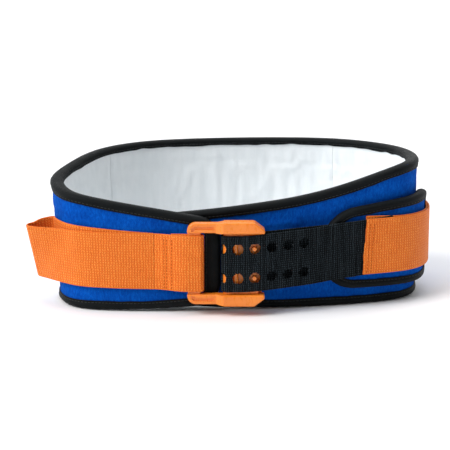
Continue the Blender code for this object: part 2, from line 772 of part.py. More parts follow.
def groove(name, side):
    """An L-shaped recess in the band's front face."""
    outline = rounded([
        (-29.2 * MM, at(28.8 * MM), 0.5 * MM), (-26.2 * MM, at(28.8 * MM), 0.5 * MM),
        (-26.2 * MM, at(30.4 * MM), 0), (-9.8 * MM, at(30.4 * MM), 1.1 * MM),
        (-9.8 * MM, at(33.2 * MM), 1.1 * MM), (-29.2 * MM, at(33.2 * MM), 3.6 * MM),
    ], 4)
    boolean(frame, slab("groove_" + name, turned(outline, side), BAND_FRONT - 1 * MM, BAND_FRONT + 1.2 * MM,
                        upright=True, helper=True))


POCKET = (WINDOW_HALF + 1.2 * MM, WINDOW_HALF + CHANNEL_DEPTH - 0.2 * MM)


def channel(name, side):
    """The channel a spring and a lug of the sliding bar run in, open to the window and to the back."""
    low = at(side * (WINDOW_HALF - 2 * MM))
    high = at(side * (WINDOW_HALF + CHANNEL_DEPTH))
    zs = sorted((low, high))
    boolean(frame, block("channel_" + name, (CHANNEL[0], -95.3 * MM, zs[0]), (CHANNEL[1], -90.7 * MM, zs[1])))
    zs = sorted(at(side * reach) for reach in POCKET)
    boolean(frame, block(
        "pocket_" + name, (CHANNEL[0] + 0.2 * MM, -91 * MM, zs[0]), (CHANNEL[1] - 0.2 * MM, -87 * MM, zs[1])
    ))


both(corner_band)
both(arm)
bridge = block("bridge", (22 * MM, -90.2 * MM, at(-29.7 * MM)), (32 * MM, ARM_BACK - 0.3 * MM, at(29.7 * MM)))
boolean(frame, bridge, "UNION")
both(groove)
both(channel)


def spring_cover(name, side):
    zs = sorted(at(side * reach) for reach in POCKET)
    inset = 0.2 * MM + GAP
    made = block(
        "spring_cover_" + name, (CHANNEL[0] + inset, -90.6 * MM, zs[0] + GAP),
        (CHANNEL[1] - inset, ARM_BACK - 0.2 * MM, zs[1] - GAP), helper=False,
    )
    soften(made, 0.3 * MM)


def spring(name, side):
    """A coil spring between a lug of the sliding bar and the end of its channel."""
    start, end = LUG[1] + GAP, CHANNEL[1] - GAP
    curve = bpy.data.curves.new("spring_" + name, "CURVE")
    curve.dimensions = "3D"
    curve.bevel_depth = SPRING_WIRE
    curve.bevel_resolution = 1
    curve.use_fill_caps = True
    sides = 12
    count = SPRING_TURNS * sides
    coil = curve.splines.new("POLY")
    coil.points.add(count)
    for k, target in enumerate(coil.points):
        t = 2 * math.pi * k / sides
        x = start + SPRING_WIRE + (end - start - 2 * SPRING_WIRE) * k / count
        y = NOSE.y + SPRING_R * math.cos(t)
        z = at(side * (WINDOW_HALF + 2.5 * MM)) + SPRING_R * math.sin(t)
        target.co = (x, y, z, 1)
    obj = bpy.data.objects.new("spring_" + name + "_curve", curve)
    CUTTERS.objects.link(obj)
    smooth(solid_from(obj, "spring_" + name, False, STEEL), 60)


both(spring_cover)
both(spring)

# Sliding bar: the strap folds round its nose, its lugs push on the springs
nose_line = [*arc(NOSE, NOSE_R, 90, 270, 14), Vector((NOSE_RIGHT, NOSE.y - NOSE_R)), Vector((NOSE_RIGHT, NOSE.y + NOSE_R))]
bar = slab("strap_bar", nose_line, at(-BAR_HALF), at(BAR_HALF))
floor_half = BAR_HALF - 0.5 * MM
floor = block("bar_floor", (4.5 * MM, -91.9 * MM, at(-floor_half)), (28.7 * MM, -90.6 * MM, at(floor_half)))
boolean(bar, floor, "UNION")


def cheek(name, side):
    zs = sorted((at(side * 20.5 * MM), at(side * (BAR_HALF - 0.2 * MM))))
    made = block("cheek_" + name, (5 * MM, -97.6 * MM, zs[0]), (SLIDER_RIGHT, -90.8 * MM, zs[1]))
    soften(made, 0.6 * MM)
    boolean(bar, made, "UNION")
    zs = sorted((at(side * (BAR_HALF - 2 * MM)), at(side * (WINDOW_HALF + CHANNEL_DEPTH - GAP))))
    boolean(bar, block("lug_" + name, (LUG[0], -95 * MM, zs[0]), (LUG[1], -91 * MM, zs[1])), "UNION")


both(cheek)
PIN_HALF = 24 * MM
pin_low, pin_high = Vector((*PIVOT, at(-PIN_HALF))), Vector((*PIVOT, at(PIN_HALF)))
lift = Vector((0, 0, 0.2 * MM))
boolean(bar, rod("bar_pin_bore", pin_low - lift, pin_high + lift, PIN_R + 0.07 * MM, 24))
smooth(rod("pivot_pin", pin_low, pin_high, PIN_R, 24, helper=False))

# Prong plate: rocks about the pin and lifts two prongs into the strap's holes
PLATE_HALF = 20.2 * MM
prongs = block(
    "prong_plate", (PIVOT.x, -94.4 * MM, at(-PLATE_HALF)), (27.1 * MM, -92.5 * MM, at(PLATE_HALF)), helper=False
)
soften(prongs, 0.4 * MM)
hub_half = PLATE_HALF - 0.3 * MM
hub_low, hub_high = Vector((*PIVOT, at(-hub_half))), Vector((*PIVOT, at(hub_half)))
boolean(prongs, rod("hub", hub_low, hub_high, HUB_R, 24), "UNION")
for name, side in (("upper", 1), ("lower", -1)):
    foot = Vector((PRONG_X, -93.2 * MM, at(side * HOLE_ROW)))
    head = Vector((PRONG_X, -97.7 * MM, at(side * HOLE_ROW)))
    boolean(prongs, rod("prong_" + name, foot, head, PRONG_R, 20, PRONG_TIP_R), "UNION")
boolean(prongs, rod("hub_bore", hub_low - lift * 10, hub_high + lift * 10, PIN_R + 0.07 * MM, 24))

# ---------------------------------------------------------------- joints


def hang(axis_name, place, names, parent=ORIGIN):
    """An empty on a joint's axis that carries the moving pieces."""
    axis = bpy.data.objects.new(axis_name, None)
    BELT.objects.link(axis)
    axis.parent = parent
    axis.location = Vector(place) - (Vector(parent["place"]) if parent is not ORIGIN else Vector())
    axis["place"] = tuple(place)
    for name in names:
        obj = BELT.objects[name]
        obj.parent = axis
        obj.location = -Vector(place)
    return axis


bar_axis = hang(
    "buckle_axis", ((BAR_LEFT + BAR_RIGHT) / 2, wrap_y, BUCKLE_Z),
    ("buckle_frame", "spring_cover_upper", "spring_cover_lower", "spring_upper", "spring_lower"),
)
slide_axis = hang("bar_slide", (NOSE.x, NOSE.y, BUCKLE_Z), ("strap_bar", "pivot_pin"), bar_axis)
hang("prong_axis", (PIVOT.x, PIVOT.y, BUCKLE_Z), ("prong_plate",), slide_axis)
tab_foot = beside(tab_left, STRAP_UPPER)
hang("tab_axis", (tab_foot.x, tab_foot.y, 55 * MM), ("pull_tab", "tab_hook", "tab_stitches"))

# ---------------------------------------------------------------- the part's own frame

bpy.context.view_layer.update()
graph = bpy.context.evaluated_depsgraph_get()
corners = []
for obj in BELT.objects:
    if obj.type == "MESH":
        seen = obj.evaluated_get(graph)
        shape = seen.to_mesh()
        corners.extend(seen.matrix_world @ v.co for v in shape.vertices)
        seen.to_mesh_clear()
lowest = Vector([min(p[k] for p in corners) for k in range(3)])
highest = Vector([max(p[k] for p in corners) for k in range(3)])
ORIGIN.location = (-(lowest.x + highest.x) / 2, -(lowest.y + highest.y) / 2, -lowest.z)
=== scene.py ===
"""Looks of the padded transfer belt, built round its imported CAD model, for Blender 4.5.

Lengths are metres. The soft layers follow the same plan curve and flat patterns as the CAD, at a finer step.
"""

import math

import bmesh
import bpy
import numpy as np
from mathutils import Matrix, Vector

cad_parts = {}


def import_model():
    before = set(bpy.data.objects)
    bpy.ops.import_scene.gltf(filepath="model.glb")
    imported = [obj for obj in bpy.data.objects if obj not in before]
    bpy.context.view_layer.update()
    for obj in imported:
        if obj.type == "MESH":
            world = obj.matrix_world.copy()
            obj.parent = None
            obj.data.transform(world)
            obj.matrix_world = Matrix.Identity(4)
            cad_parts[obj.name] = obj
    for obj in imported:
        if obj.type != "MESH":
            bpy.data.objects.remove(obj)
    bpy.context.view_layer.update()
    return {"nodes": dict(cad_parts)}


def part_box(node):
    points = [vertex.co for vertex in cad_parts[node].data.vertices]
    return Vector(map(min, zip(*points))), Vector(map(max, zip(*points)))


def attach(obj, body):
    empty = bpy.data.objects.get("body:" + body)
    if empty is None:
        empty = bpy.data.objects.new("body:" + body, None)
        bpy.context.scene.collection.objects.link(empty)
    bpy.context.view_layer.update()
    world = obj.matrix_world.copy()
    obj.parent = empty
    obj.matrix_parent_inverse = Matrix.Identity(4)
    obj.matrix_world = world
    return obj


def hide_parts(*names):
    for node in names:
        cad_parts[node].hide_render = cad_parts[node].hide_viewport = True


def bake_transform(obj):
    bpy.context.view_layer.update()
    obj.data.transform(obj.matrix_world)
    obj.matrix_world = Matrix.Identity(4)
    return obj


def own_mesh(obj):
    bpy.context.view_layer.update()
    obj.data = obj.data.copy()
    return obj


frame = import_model()

MM = 0.001
GAP = 0.3 * MM

# The CAD's own sizes
WRAP = [
    (-5, -82.6), (-50, -80.5), (-100, -78), (-136, -67), (-152, -34), (-143, 4), (-115, 52),
    (-68, 88), (0, 105), (74, 107), (122, 93), (159, 58), (172, 14), (164, -28), (129, -50),
    (67, -65), (4, -72), (-40, -70), (-80, -66),
]
FOAM = 6.4 * MM
CLOTH = 0.8 * MM
BACK_HEIGHT = 124.6 * MM
LEFT_TAPER = (262 * MM, 0.165)
RIGHT_TAPER = (246 * MM, 0.29)
RIGHT_EASE = (158 * MM, 0.175)
TAPER_BLEND = 3 * MM
END_LIFT = 8 * MM
LIFT_LENGTH = 40 * MM
LEFT_CORNER = 17 * MM
RIGHT_CORNER = 22 * MM
LEAN = 7 * MM
LEAN_FROM = -40 * MM
LEAN_WIDTH = 116 * MM
TAPE_OUTER_LEG = 6.9 * MM
TAPE_INNER_LEG = 5.4 * MM
TAPE_END_LEG_AND_SHADE = 6 * MM  # how much wider the outer leg is across the body's left end; the extra black width is partly binding and partly painted shade in the buckle's window
FOOT = 1.1 * MM
SEAM_LEFT = 0.2946
SEAM_RIGHT = 0.551
SURFACE = FOAM / 2 + GAP + CLOTH
CLOTH_OUT = FOAM / 2 + GAP + CLOTH / 2

PAD_LEFT = (82.5 * MM, -62 * MM)
PAD_RIGHT = (172 * MM, 6 * MM)
PAD_FOAM = 4.0 * MM
PAD_OUTER_LEG = 6.8 * MM
PAD_INNER_LEG = 6 * MM
PAD_LEFT_CORNER = 30 * MM
PAD_RIGHT_CORNER = 20 * MM
PAD_HOOK = SURFACE + GAP + 0.5 * MM
PAD_MIDDLE = SURFACE + GAP + 1.0 * MM + GAP + CLOTH + GAP + PAD_FOAM / 2
PAD_CLOTH = PAD_FOAM / 2 + GAP + CLOTH / 2
PAD_FACE = PAD_MIDDLE + PAD_FOAM / 2 + GAP + CLOTH

WEB_WIDTH = 50 * MM
WEB = 1.6 * MM
STEP_OUT = WEB + GAP
STRAP_LOWER = PAD_FACE + GAP + CLOTH + GAP + WEB / 2
STRAP_UPPER = STRAP_LOWER + STEP_OUT
TAB_OUTER = STRAP_UPPER + STEP_OUT
HANDLE_BASE = SURFACE + GAP + WEB / 2
HANDLE_FRONT = HANDLE_BASE + STEP_OUT
HAND_TIP = np.array((-172.5, -50)) * MM

BUCKLE_Z = 46.2 * MM
BAR_RIGHT = -21 * MM
BAR_FRONT = -96 * MM
BAR_BACK = -91 * MM
WINDOW_HALF = 27.2 * MM
NOSE = np.array((3.4, -93)) * MM
NOSE_R = 5.0 * MM
PIVOT = np.array((9.3, -94.6)) * MM
SPRING_FROM, SPRING_TO = 12.3 * MM, 27.2 * MM
SPRING_R = 1.7 * MM
SPRING_WIRE = 0.3 * MM
HOLE_R = 4.8 * MM
HOLE_PITCH = 14.8 * MM
HOLE_ROW = 13 * MM
FIRST_HOLE_X = 11 * MM
LAST_HOLE_X = 70.2 * MM

pin_low, pin_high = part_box("pivot_pin")
SHIFT = np.array([
    (pin_low[0] + pin_high[0]) / 2 - PIVOT[0], (pin_low[1] + pin_high[1]) / 2 - PIVOT[1], 0.0,
])


def world(x, y, z):
    """A point of the part's drawing frame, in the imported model's frame."""
    return tuple(np.array((x, y, z)) + SHIFT)


# ---------------------------------------------------------------- plan curves

class Route:
    """A smooth curve through a few points, read by the length along it."""

    STEPS = 40

    def __init__(self, points):
        p = np.array([tuple(q) for q in points], float)
        ends = np.vstack([2 * p[0] - p[1], p, 2 * p[-1] - p[-2]])
        t = (np.arange(self.STEPS) / self.STEPS)[:, None]
        pieces = [
            0.5 * (2 * b + (c - a) * t + (2 * a - 5 * b + 4 * c - d) * t**2 + (3 * b - a - 3 * c + d) * t**3)
            for a, b, c, d in zip(ends, ends[1:], ends[2:], ends[3:])
        ]
        self.line = np.vstack([*pieces, p[-1:]])
        steps = np.linalg.norm(np.diff(self.line, axis=0), axis=1)
        self.run = np.concatenate([[0.0], np.cumsum(steps)])
        self.length = self.run[-1]
        self.first = (self.line[1] - self.line[0]) / steps[0]
        self.last = (self.line[-1] - self.line[-2]) / steps[-1]

    def point(self, s):
        """Points at lengths s; past an end, the curve runs straight on."""
        s = np.asarray(s, float)
        made = np.stack([np.interp(s, self.run, column) for column in self.line.T], -1)
        before = np.minimum(s, 0)[..., None] * self.first
        after = np.maximum(s - self.length, 0)[..., None] * self.last
        return made + before + after

    def normal(self, s, reach=1.5 * MM):
        """Unit vectors to the left of the direction of travel, in plan."""
        s = np.asarray(s, float)
        along = self.point(s + reach) - self.point(s - reach)
        made = np.stack([-along[..., 1], along[..., 0]], -1)
        return made / np.linalg.norm(made, axis=-1, keepdims=True)

    def nearest(self, x, y, start=0.0, end=None):
        places = np.linspace(start, self.length if end is None else end, 401)
        away = self.point(places)[:, :2] - np.array((x, y))
        return places[np.argmin((away**2).sum(1))]


BODY = Route([(x * MM, y * MM) for x, y in WRAP])
HALFWAY = BODY.length / 2


def leaned(x, y, z, middle_x):
    share = np.minimum(middle_x - LEAN_FROM, 0.0) / LEAN_WIDTH
    return np.stack(np.broadcast_arrays(x + LEAN * share * share * (1 - z / BACK_HEIGHT), y, z), -1) + SHIFT


def beside(s, out):
    return BODY.point(s) + BODY.normal(s) * np.asarray(out)[..., None]


def on_body(s, out, z):
    """Points at lengths s round the body, out metres outside its middle layer, at heights z."""
    s, out, z = np.broadcast_arrays(s, out, z)
    middle = BODY.point(s)
    p = middle + BODY.normal(s) * out[..., None]
    return leaned(p[..., 0], p[..., 1], z, middle[..., 0])


def body_top(s):
    fall = 0.0
    for near, (reach, slope) in ((s, LEFT_TAPER), (BODY.length - s, RIGHT_TAPER)):
        fall = fall + TAPER_BLEND * np.log1p(np.exp((reach - near) * slope / TAPER_BLEND))
    reach, slope = RIGHT_EASE
    ease = TAPER_BLEND * np.log1p(np.exp((reach - BODY.length + s) * slope / TAPER_BLEND))
    return BACK_HEIGHT - fall + ease


def body_bottom(s):
    return FOOT + END_LIFT * np.exp(-np.maximum(np.minimum(s, BODY.length - s), 0) / LIFT_LENGTH)


def arc(centre, radius, start, end, count):
    turns = np.radians(np.linspace(start, end, count + 1))
    return centre + np.stack([np.cos(turns), np.sin(turns)], -1) * radius


def raise_to(points, start, end):
    """Plan points lifted to heights that go evenly from start to end."""
    points = np.array([tuple(p) for p in points])
    return [tuple(p) for p in np.column_stack([points, np.linspace(start, end, len(points))])]


def smoothstep(low, high, x):
    t = np.clip((x - low) / (high - low), 0, 1)
    return t * t * (3 - 2 * t)


def ripple(u, v, seed, size_u, size_v):
    """Smooth seeded noise from -1 to 1 over a flat pattern."""
    lattice = np.random.RandomState(seed).uniform(-1, 1, (97, 97))
    a, b = np.broadcast_arrays(np.asarray(u, float) / size_u, np.asarray(v, float) / size_v)
    i, j = np.floor(a).astype(int), np.floor(b).astype(int)
    f, g = a - i, b - j
    f, g = f * f * (3 - 2 * f), g * g * (3 - 2 * g)
    i0, i1, j0, j1 = i % 97, (i + 1) % 97, j % 97, (j + 1) % 97
    low = lattice[i0, j0] * (1 - f) + lattice[i1, j0] * f
    high = lattice[i0, j1] * (1 - f) + lattice[i1, j1] * f
    return low * (1 - g) + high * g


class Panel:
    """A flat pattern laid on the body: two ends with rounded corners, a lower and an upper edge."""

    def __init__(self, start, end, low, high, start_corner, end_corner):
        self.start, self.end = start, end
        self.low, self.high = low, high
        self.corners = start_corner, end_corner

    def drop(self, s):
        s = np.asarray(s, float)
        made = np.zeros_like(s)
        for near, r in zip((s - self.start, self.end - s), self.corners):
            inside = np.clip(near, 0, r)
            fall = r - np.sqrt(np.maximum(0, r * r - (r - inside) ** 2))
            made = np.maximum(made, np.where(near < r, fall, 0))
        return made

    def span(self, s):
        return self.low(s) + self.drop(s), self.high(s) - self.drop(s)

    def inset(self, s, z):
        """How far inside the outline a place is."""
        low, high = self.span(s)
        return np.minimum(np.minimum(z - low, high - z), np.minimum(s - self.start, self.end - s))

    def places(self, step, turns=14):
        a, b = self.corners
        first = self.start + a * (1 - np.cos(np.linspace(0, math.pi / 2, turns + 1)))
        last = (self.end - b * (1 - np.cos(np.linspace(0, math.pi / 2, turns + 1))))[::-1]
        count = max(2, int((last[0] - first[-1]) / step))
        return np.concatenate([first, np.linspace(first[-1], last[0], count + 1)[1:-1], last])

    def grid(self, step, rows, start=None, end=None):
        """Lengths s and heights z of a grid over the panel, or over the part of it from start to end."""
        s = self.places(step)
        if start is not None:
            s = np.concatenate([[start], s[s > start + 0.6 * step]])
        if end is not None:
            s = np.concatenate([s[s < end - 0.6 * step], [end]])
        low, high = self.span(s)
        share = np.linspace(0, 1, rows + 1)
        return np.repeat(s[:, None], rows + 1, 1), low[:, None] + (high - low)[:, None] * share

    def edge(self, step):
        """The outline as (s, z) anticlockwise every step metres, its inward normals and its run."""
        s = self.places(4 * step, 24)
        low, high = self.span(s)
        loop = np.vstack([np.column_stack([s, low]), np.column_stack([s[::-1], high[::-1]])])
        loop = np.vstack([loop, loop[:1]])
        run = np.concatenate([[0], np.cumsum(np.linalg.norm(np.diff(loop, axis=0), axis=1))])
        count = int(run[-1] / step)
        at = np.arange(count) * run[-1] / count
        line = np.column_stack([np.interp(at, run, loop[:, 0]), np.interp(at, run, loop[:, 1])])
        along = np.roll(line, -2, 0) - np.roll(line, 2, 0)
        along /= np.linalg.norm(along, axis=1, keepdims=True)
        return line, np.column_stack([-along[:, 1], along[:, 0]]), at

    def area(self, s=None):
        """The area of the panel, or of the part of it that the lengths s cover."""
        s = self.places(2 * MM) if s is None else s
        low, high = self.span(s)
        return float((((high - low)[1:] + (high - low)[:-1]) / 2 * np.diff(s)).sum())


def level(value):
    """The same value everywhere on a panel."""
    return lambda s, z=None: value + 0 * s


# ---------------------------------------------------------------- materials

class Paint:
    """A node material under construction."""

    def __init__(self, name, roughness, **constants):
        self.material = bpy.data.materials.new(name)
        self.material.use_nodes = True
        self.tree = self.material.node_tree
        self.shader = self.tree.nodes["Principled BSDF"]
        self.shader.inputs["Roughness"].default_value = roughness
        for key, value in constants.items():
            self.shader.inputs[key.replace("_", " ")].default_value = value

    def node(self, kind, inputs=None, **settings):
        made = self.tree.nodes.new(kind)
        for key, value in settings.items():
            setattr(made, key, value)
        for key, value in (inputs or {}).items():
            if isinstance(value, bpy.types.NodeSocket):
                self.tree.links.new(value, made.inputs[key])
            else:
                made.inputs[key].default_value = value
        return made

    def math(self, operation, a, b=0.0):
        return self.node("ShaderNodeMath", {0: a, 1: b}, operation=operation).outputs[0]

    def total(self, *terms):
        """The sum of values, each times its weight."""
        parts = [self.math("MULTIPLY", value, weight) for value, weight in terms]
        made = parts[0]
        for part in parts[1:]:
            made = self.math("ADD", made, part)
        return made

    def wave(self, value, pitch):
        """A sine from -1 to 1 with this pitch in millimetres."""
        return self.math("SINE", self.math("MULTIPLY", value, 2 * math.pi / pitch))

    def flat(self):
        """The flat pattern's own coordinates, in millimetres: along, across."""
        uv = self.node("ShaderNodeUVMap", uv_map="flat")
        apart = self.node("ShaderNodeSeparateXYZ", {"Vector": uv.outputs["UV"]})
        return uv.outputs["UV"], apart.outputs["X"], apart.outputs["Y"]

    def place(self):
        """Coordinates in the object's own space, in millimetres."""
        where = self.node("ShaderNodeTexCoord")
        inputs = {0: where.outputs["Object"], "Scale": 1 / MM}
        return self.node("ShaderNodeVectorMath", inputs, operation="SCALE").outputs[0]

    def noise(self, vector, scale, detail=3.0, roughness=0.55, stretch=None, distortion=0.0):
        """Noise from 0 to 1 whose lumps are about 1/scale of the vector's unit."""
        if stretch:
            inputs = {0: vector, 1: stretch}
            vector = self.node("ShaderNodeVectorMath", inputs, operation="MULTIPLY").outputs[0]
        inputs = {"Vector": vector, "Scale": scale, "Detail": detail, "Roughness": roughness}
        return self.node("ShaderNodeTexNoise", {**inputs, "Distortion": distortion}).outputs["Fac"]

    def ramp(self, value, stops):
        made = self.node("ShaderNodeValToRGB", {"Fac": value})
        ramp = made.color_ramp
        while len(ramp.elements) < len(stops):
            ramp.elements.new(0.5)
        for element, (where, colour) in zip(ramp.elements, stops):
            element.position = where
            element.color = (*colour, 1)
        return made.outputs["Color"]

    def remap(self, value, from_low, from_high, to_low, to_high):
        inputs = {
            "Value": value, "From Min": from_low, "From Max": from_high, "To Min": to_low, "To Max": to_high,
        }
        return self.node("ShaderNodeMapRange", inputs).outputs["Result"]

    def finish(self, colour, roughness=None, height=None, bump=0.2 * MM, strength=1.0):
        """Link what is given to the shader: a colour, a roughness and a height for the bump."""
        sockets = {"Base Color": colour, "Roughness": roughness}
        if height is not None:
            inputs = {"Height": height, "Distance": bump, "Strength": strength}
            sockets["Normal"] = self.node("ShaderNodeBump", inputs).outputs["Normal"]
        for key, value in sockets.items():
            if value is not None:
                self.tree.links.new(value, self.shader.inputs[key])
        return self.material


def blue_fabric():
    """Brushed loop fabric: short matted pile with lighter and darker strokes."""
    p = Paint(
        "brushed_blue_loop", 0.92, Sheen_Weight=0.04, Sheen_Roughness=0.45, Sheen_Tint=(0.1, 0.4, 1.0, 1),
        Specular_IOR_Level=0.03,
    )
    uv = p.flat()[0]
    fine = p.noise(uv, 1.9, 4.0, 0.7)
    strokes = p.noise(uv, 0.55, 3.0, 0.6, stretch=(1.0, 0.42, 1.0), distortion=0.6)
    patches = p.noise(uv, 0.045, 3.0, 0.5)
    colour = p.ramp(p.total((fine, 0.45), (strokes, 0.4), (patches, 0.25)), [
        (0.38, (0.0008, 0.034, 0.235)), (0.53, (0.0015, 0.068, 0.40)), (0.66, (0.003, 0.112, 0.56)),
        (0.80, (0.015, 0.19, 0.74)),
    ])
    height = p.total((fine, 0.6), (strokes, 0.5))
    return p.finish(colour, p.remap(fine, 0.3, 0.7, 0.84, 0.98), height, 0.7 * MM, 0.8)


def white_fabric():
    """Soft brushed tricot, a little cool, with faint courses and creases."""
    p = Paint("soft_white_lining", 0.88, Sheen_Weight=0.15, Sheen_Roughness=0.6)
    uv, u, _ = p.flat()
    fine = p.noise(uv, 2.4, 4.0, 0.7)
    cloudy = p.noise(uv, 0.05, 3.0, 0.55, stretch=(1.0, 0.5, 1.0))
    creases = p.noise(uv, 0.16, 4.0, 0.6, stretch=(1.0, 0.22, 1.0), distortion=0.4)
    colour = p.ramp(p.total((fine, 0.25), (cloudy, 0.4), (creases, 0.35)), [
        (0.32, (0.79, 0.835, 0.86)), (0.50, (0.855, 0.895, 0.915)), (0.68, (0.91, 0.94, 0.955)),
    ])
    height = p.total((fine, 0.5), (p.wave(u, 1.1), 0.06), (creases, 0.8))
    return p.finish(colour, p.remap(fine, 0.3, 0.7, 0.8, 0.95), height, 0.5 * MM, 0.6)


def tape_fabric():
    """Black folded binding: close rib weave across the tape, with worn patches."""
    p = Paint("black_edge_tape", 0.6, Sheen_Weight=0.0, Specular_IOR_Level=0.09)
    uv, u, v = p.flat()
    fine = p.noise(uv, 2.0, 3.0, 0.6)
    worn = p.noise(uv, 0.12, 4.0, 0.6, stretch=(0.5, 1.0, 1.0))
    colour = p.ramp(p.total((fine, 0.4), (worn, 0.6)), [
        (0.35, (0.002, 0.003, 0.0035)), (0.55, (0.0055, 0.007, 0.0078)), (0.75, (0.014, 0.017, 0.018)),
    ])
    height = p.total((p.wave(u, 0.7), 0.22), (p.wave(v, 0.55), 0.14), (fine, 0.7))
    return p.finish(colour, p.remap(worn, 0.3, 0.7, 0.48, 0.68), height, 0.14 * MM, 0.8)


def webbing(name, colours, pitches, depth, sheen, specular, roughness=0.62, stripes=0.0, weave_shading=0.22):
    """Woven webbing: warp and weft floats with uneven thread tones, painted light and shade on the floats and
    painted glints, pitches in millimetres.
    """
    mottle = 0.14
    p = Paint(name, roughness, Sheen_Weight=sheen, Sheen_Roughness=0.4, Specular_IOR_Level=specular)
    uv, u, v = p.flat()
    wobble = p.noise(uv, 0.35, 2.0, 0.5)
    drift = p.noise(uv, 0.11, 2.0, 0.5)
    warp = p.wave(p.total((u, 1), (wobble, 1.1), (drift, 3.0)), pitches[0])
    weft = p.wave(p.total((v, 1), (wobble, 0.8)), pitches[1])
    floats = p.total((p.math("MULTIPLY", warp, weft), 0.5), (warp, 0.45), (weft, 0.2))
    fine = p.noise(uv, 2.6, 3.0, 0.65)
    fibres = p.noise(uv, 5.0, 2.0, 0.5, stretch=(0.35, 1.6, 1.0))
    patches = p.noise(uv, 0.07, 3.0, 0.5)
    # Scattered bright specks in the colour: painted glints on the threads.
    painted_glints = p.remap(p.noise(uv, 0.85, 1.0, 0.4), 0.62, 0.74, 0.0, 0.3)
    lines = p.noise(uv, 0.62, 2.0, 0.5, stretch=(1.0, 0.012, 1.0))
    # The floats' relief is painted into the colour as well: painted highlight on their tops and painted shade
    # in the valleys between them.
    tone = p.total(
        (floats, weave_shading), (fine, 0.36), (patches, mottle), (painted_glints, 1), (fibres, 0.3), (lines, stripes)
    )
    tone = p.math("ADD", tone, 0.17 - (mottle + stripes) / 2)
    colour = p.ramp(tone, list(zip((0.26, 0.5, 0.76), colours)))
    height = p.total((floats, 1), (fibres, 0.8), (fine, 0.35))
    rough = p.remap(fine, 0.3, 0.7, roughness - 0.08, roughness + 0.12)
    return p.finish(colour, rough, height, depth, 0.9)


def thread(name, colour):
    """Twisted sewing thread."""
    p = Paint(name, 0.6, Specular_IOR_Level=0.15)
    twist = p.noise(p.place(), 3.0, 3.0, 0.6)
    dark = tuple(0.62 * c for c in colour)
    return p.finish(p.ramp(twist, [(0.35, dark), (0.65, colour)]), None, twist, 0.12 * MM)


def hook_fabric():
    """Hook tape: a stiff base with rows of small moulded hooks."""
    p = Paint("black_hook_tape", 0.5)
    uv, u, v = p.flat()
    rows = p.math("MULTIPLY", p.wave(u, 1.5), p.wave(v, 1.2))
    fine = p.noise(uv, 2.2)
    tone = p.total((rows, 0.3), (fine, 1))
    colour = p.ramp(tone, [(0.3, (0.008, 0.008, 0.009)), (0.8, (0.05, 0.05, 0.052))])
    return p.finish(colour, p.remap(fine, 0.3, 0.7, 0.4, 0.65), tone, 0.4 * MM)


def foam():
    """Closed-cell foam: fine bubbles on a pale grey."""
    p = Paint("pale_foam", 0.95)
    where = p.place()
    cells = p.node("ShaderNodeTexVoronoi", {"Vector": where, "Scale": 1.4}).outputs["Distance"]
    tone = p.total((cells, 0.4), (p.noise(where, 0.1), 1))
    colour = p.ramp(tone, [(0.3, (0.42, 0.42, 0.39)), (0.9, (0.63, 0.63, 0.60))])
    return p.finish(colour, None, cells, 0.4 * MM)


def plastic(name, low, high, roughness=0.34):
    """Satin moulded plastic: slight flow marks, fine spark texture, handling wear."""
    p = Paint(
        name, roughness, Coat_Weight=0.12, Coat_Roughness=0.3, Subsurface_Weight=0.08,
        Subsurface_Radius=(2.0 * MM, 0.8 * MM, 0.3 * MM), Subsurface_Scale=1.0,
    )
    where = p.place()
    flow = p.noise(where, 0.05, 3.0, 0.5, distortion=0.5)
    spark = p.noise(where, 3.2, 2.0, 0.6)
    scuffs = p.noise(where, 0.45, 5.0, 0.72, stretch=(1.0, 1.0, 0.35))
    colour = p.ramp(p.total((flow, 0.7), (scuffs, 0.3)), [(0.33, low), (0.67, high)])
    rough = p.remap(scuffs, 0.42, 0.62, roughness - 0.07, roughness + 0.11)
    return p.finish(colour, rough, p.total((spark, 0.35), (scuffs, 1)), 0.06 * MM, 0.7)


def steel():
    """Bright drawn wire."""
    p = Paint("bright_spring_steel", 0.28, Metallic=1.0)
    drawn = p.noise(p.place(), 2.5, 4.0, 0.7, stretch=(1.0, 1.0, 0.08))
    colour = p.ramp(drawn, [(0.3, (0.42, 0.42, 0.44)), (0.7, (0.72, 0.72, 0.74))])
    return p.finish(colour, p.remap(drawn, 0.3, 0.7, 0.2, 0.42), drawn, 0.03 * MM)


BLUE = blue_fabric()
WHITE = white_fabric()
TAPE = tape_fabric()
ORANGE_WEB = webbing(
    "orange_basket_webbing", ((0.58, 0.085, 0.004), (0.86, 0.175, 0.012), (1.0, 0.36, 0.06)),
    (2.5, 2.3), 0.34 * MM, sheen=0.04, specular=0.25,
)
BLACK_WEB = webbing(
    "black_ribbed_webbing", ((0.0008, 0.0012, 0.0016), (0.0035, 0.0055, 0.007), (0.035, 0.046, 0.054)),
    (1.9, 1.9), 0.26 * MM, sheen=0.0, specular=0.05, roughness=0.66, stripes=0.8, weave_shading=0.3,
)
FIBRE = thread("frayed_grey_fibres", (0.40, 0.43, 0.45))
BLACK_THREAD = thread("black_bonded_thread", (0.036, 0.038, 0.038))
ORANGE_THREAD = thread("orange_bonded_thread", (0.60, 0.10, 0.006))
HOOK = hook_fabric()
PADDING = foam()
PLASTIC = plastic("orange_satin_plastic", (0.84, 0.205, 0.010), (0.92, 0.26, 0.02))
STEEL = steel()


# ---------------------------------------------------------------- mesh building

SHARP = math.radians(60)  # edges that turn more than this stay sharp


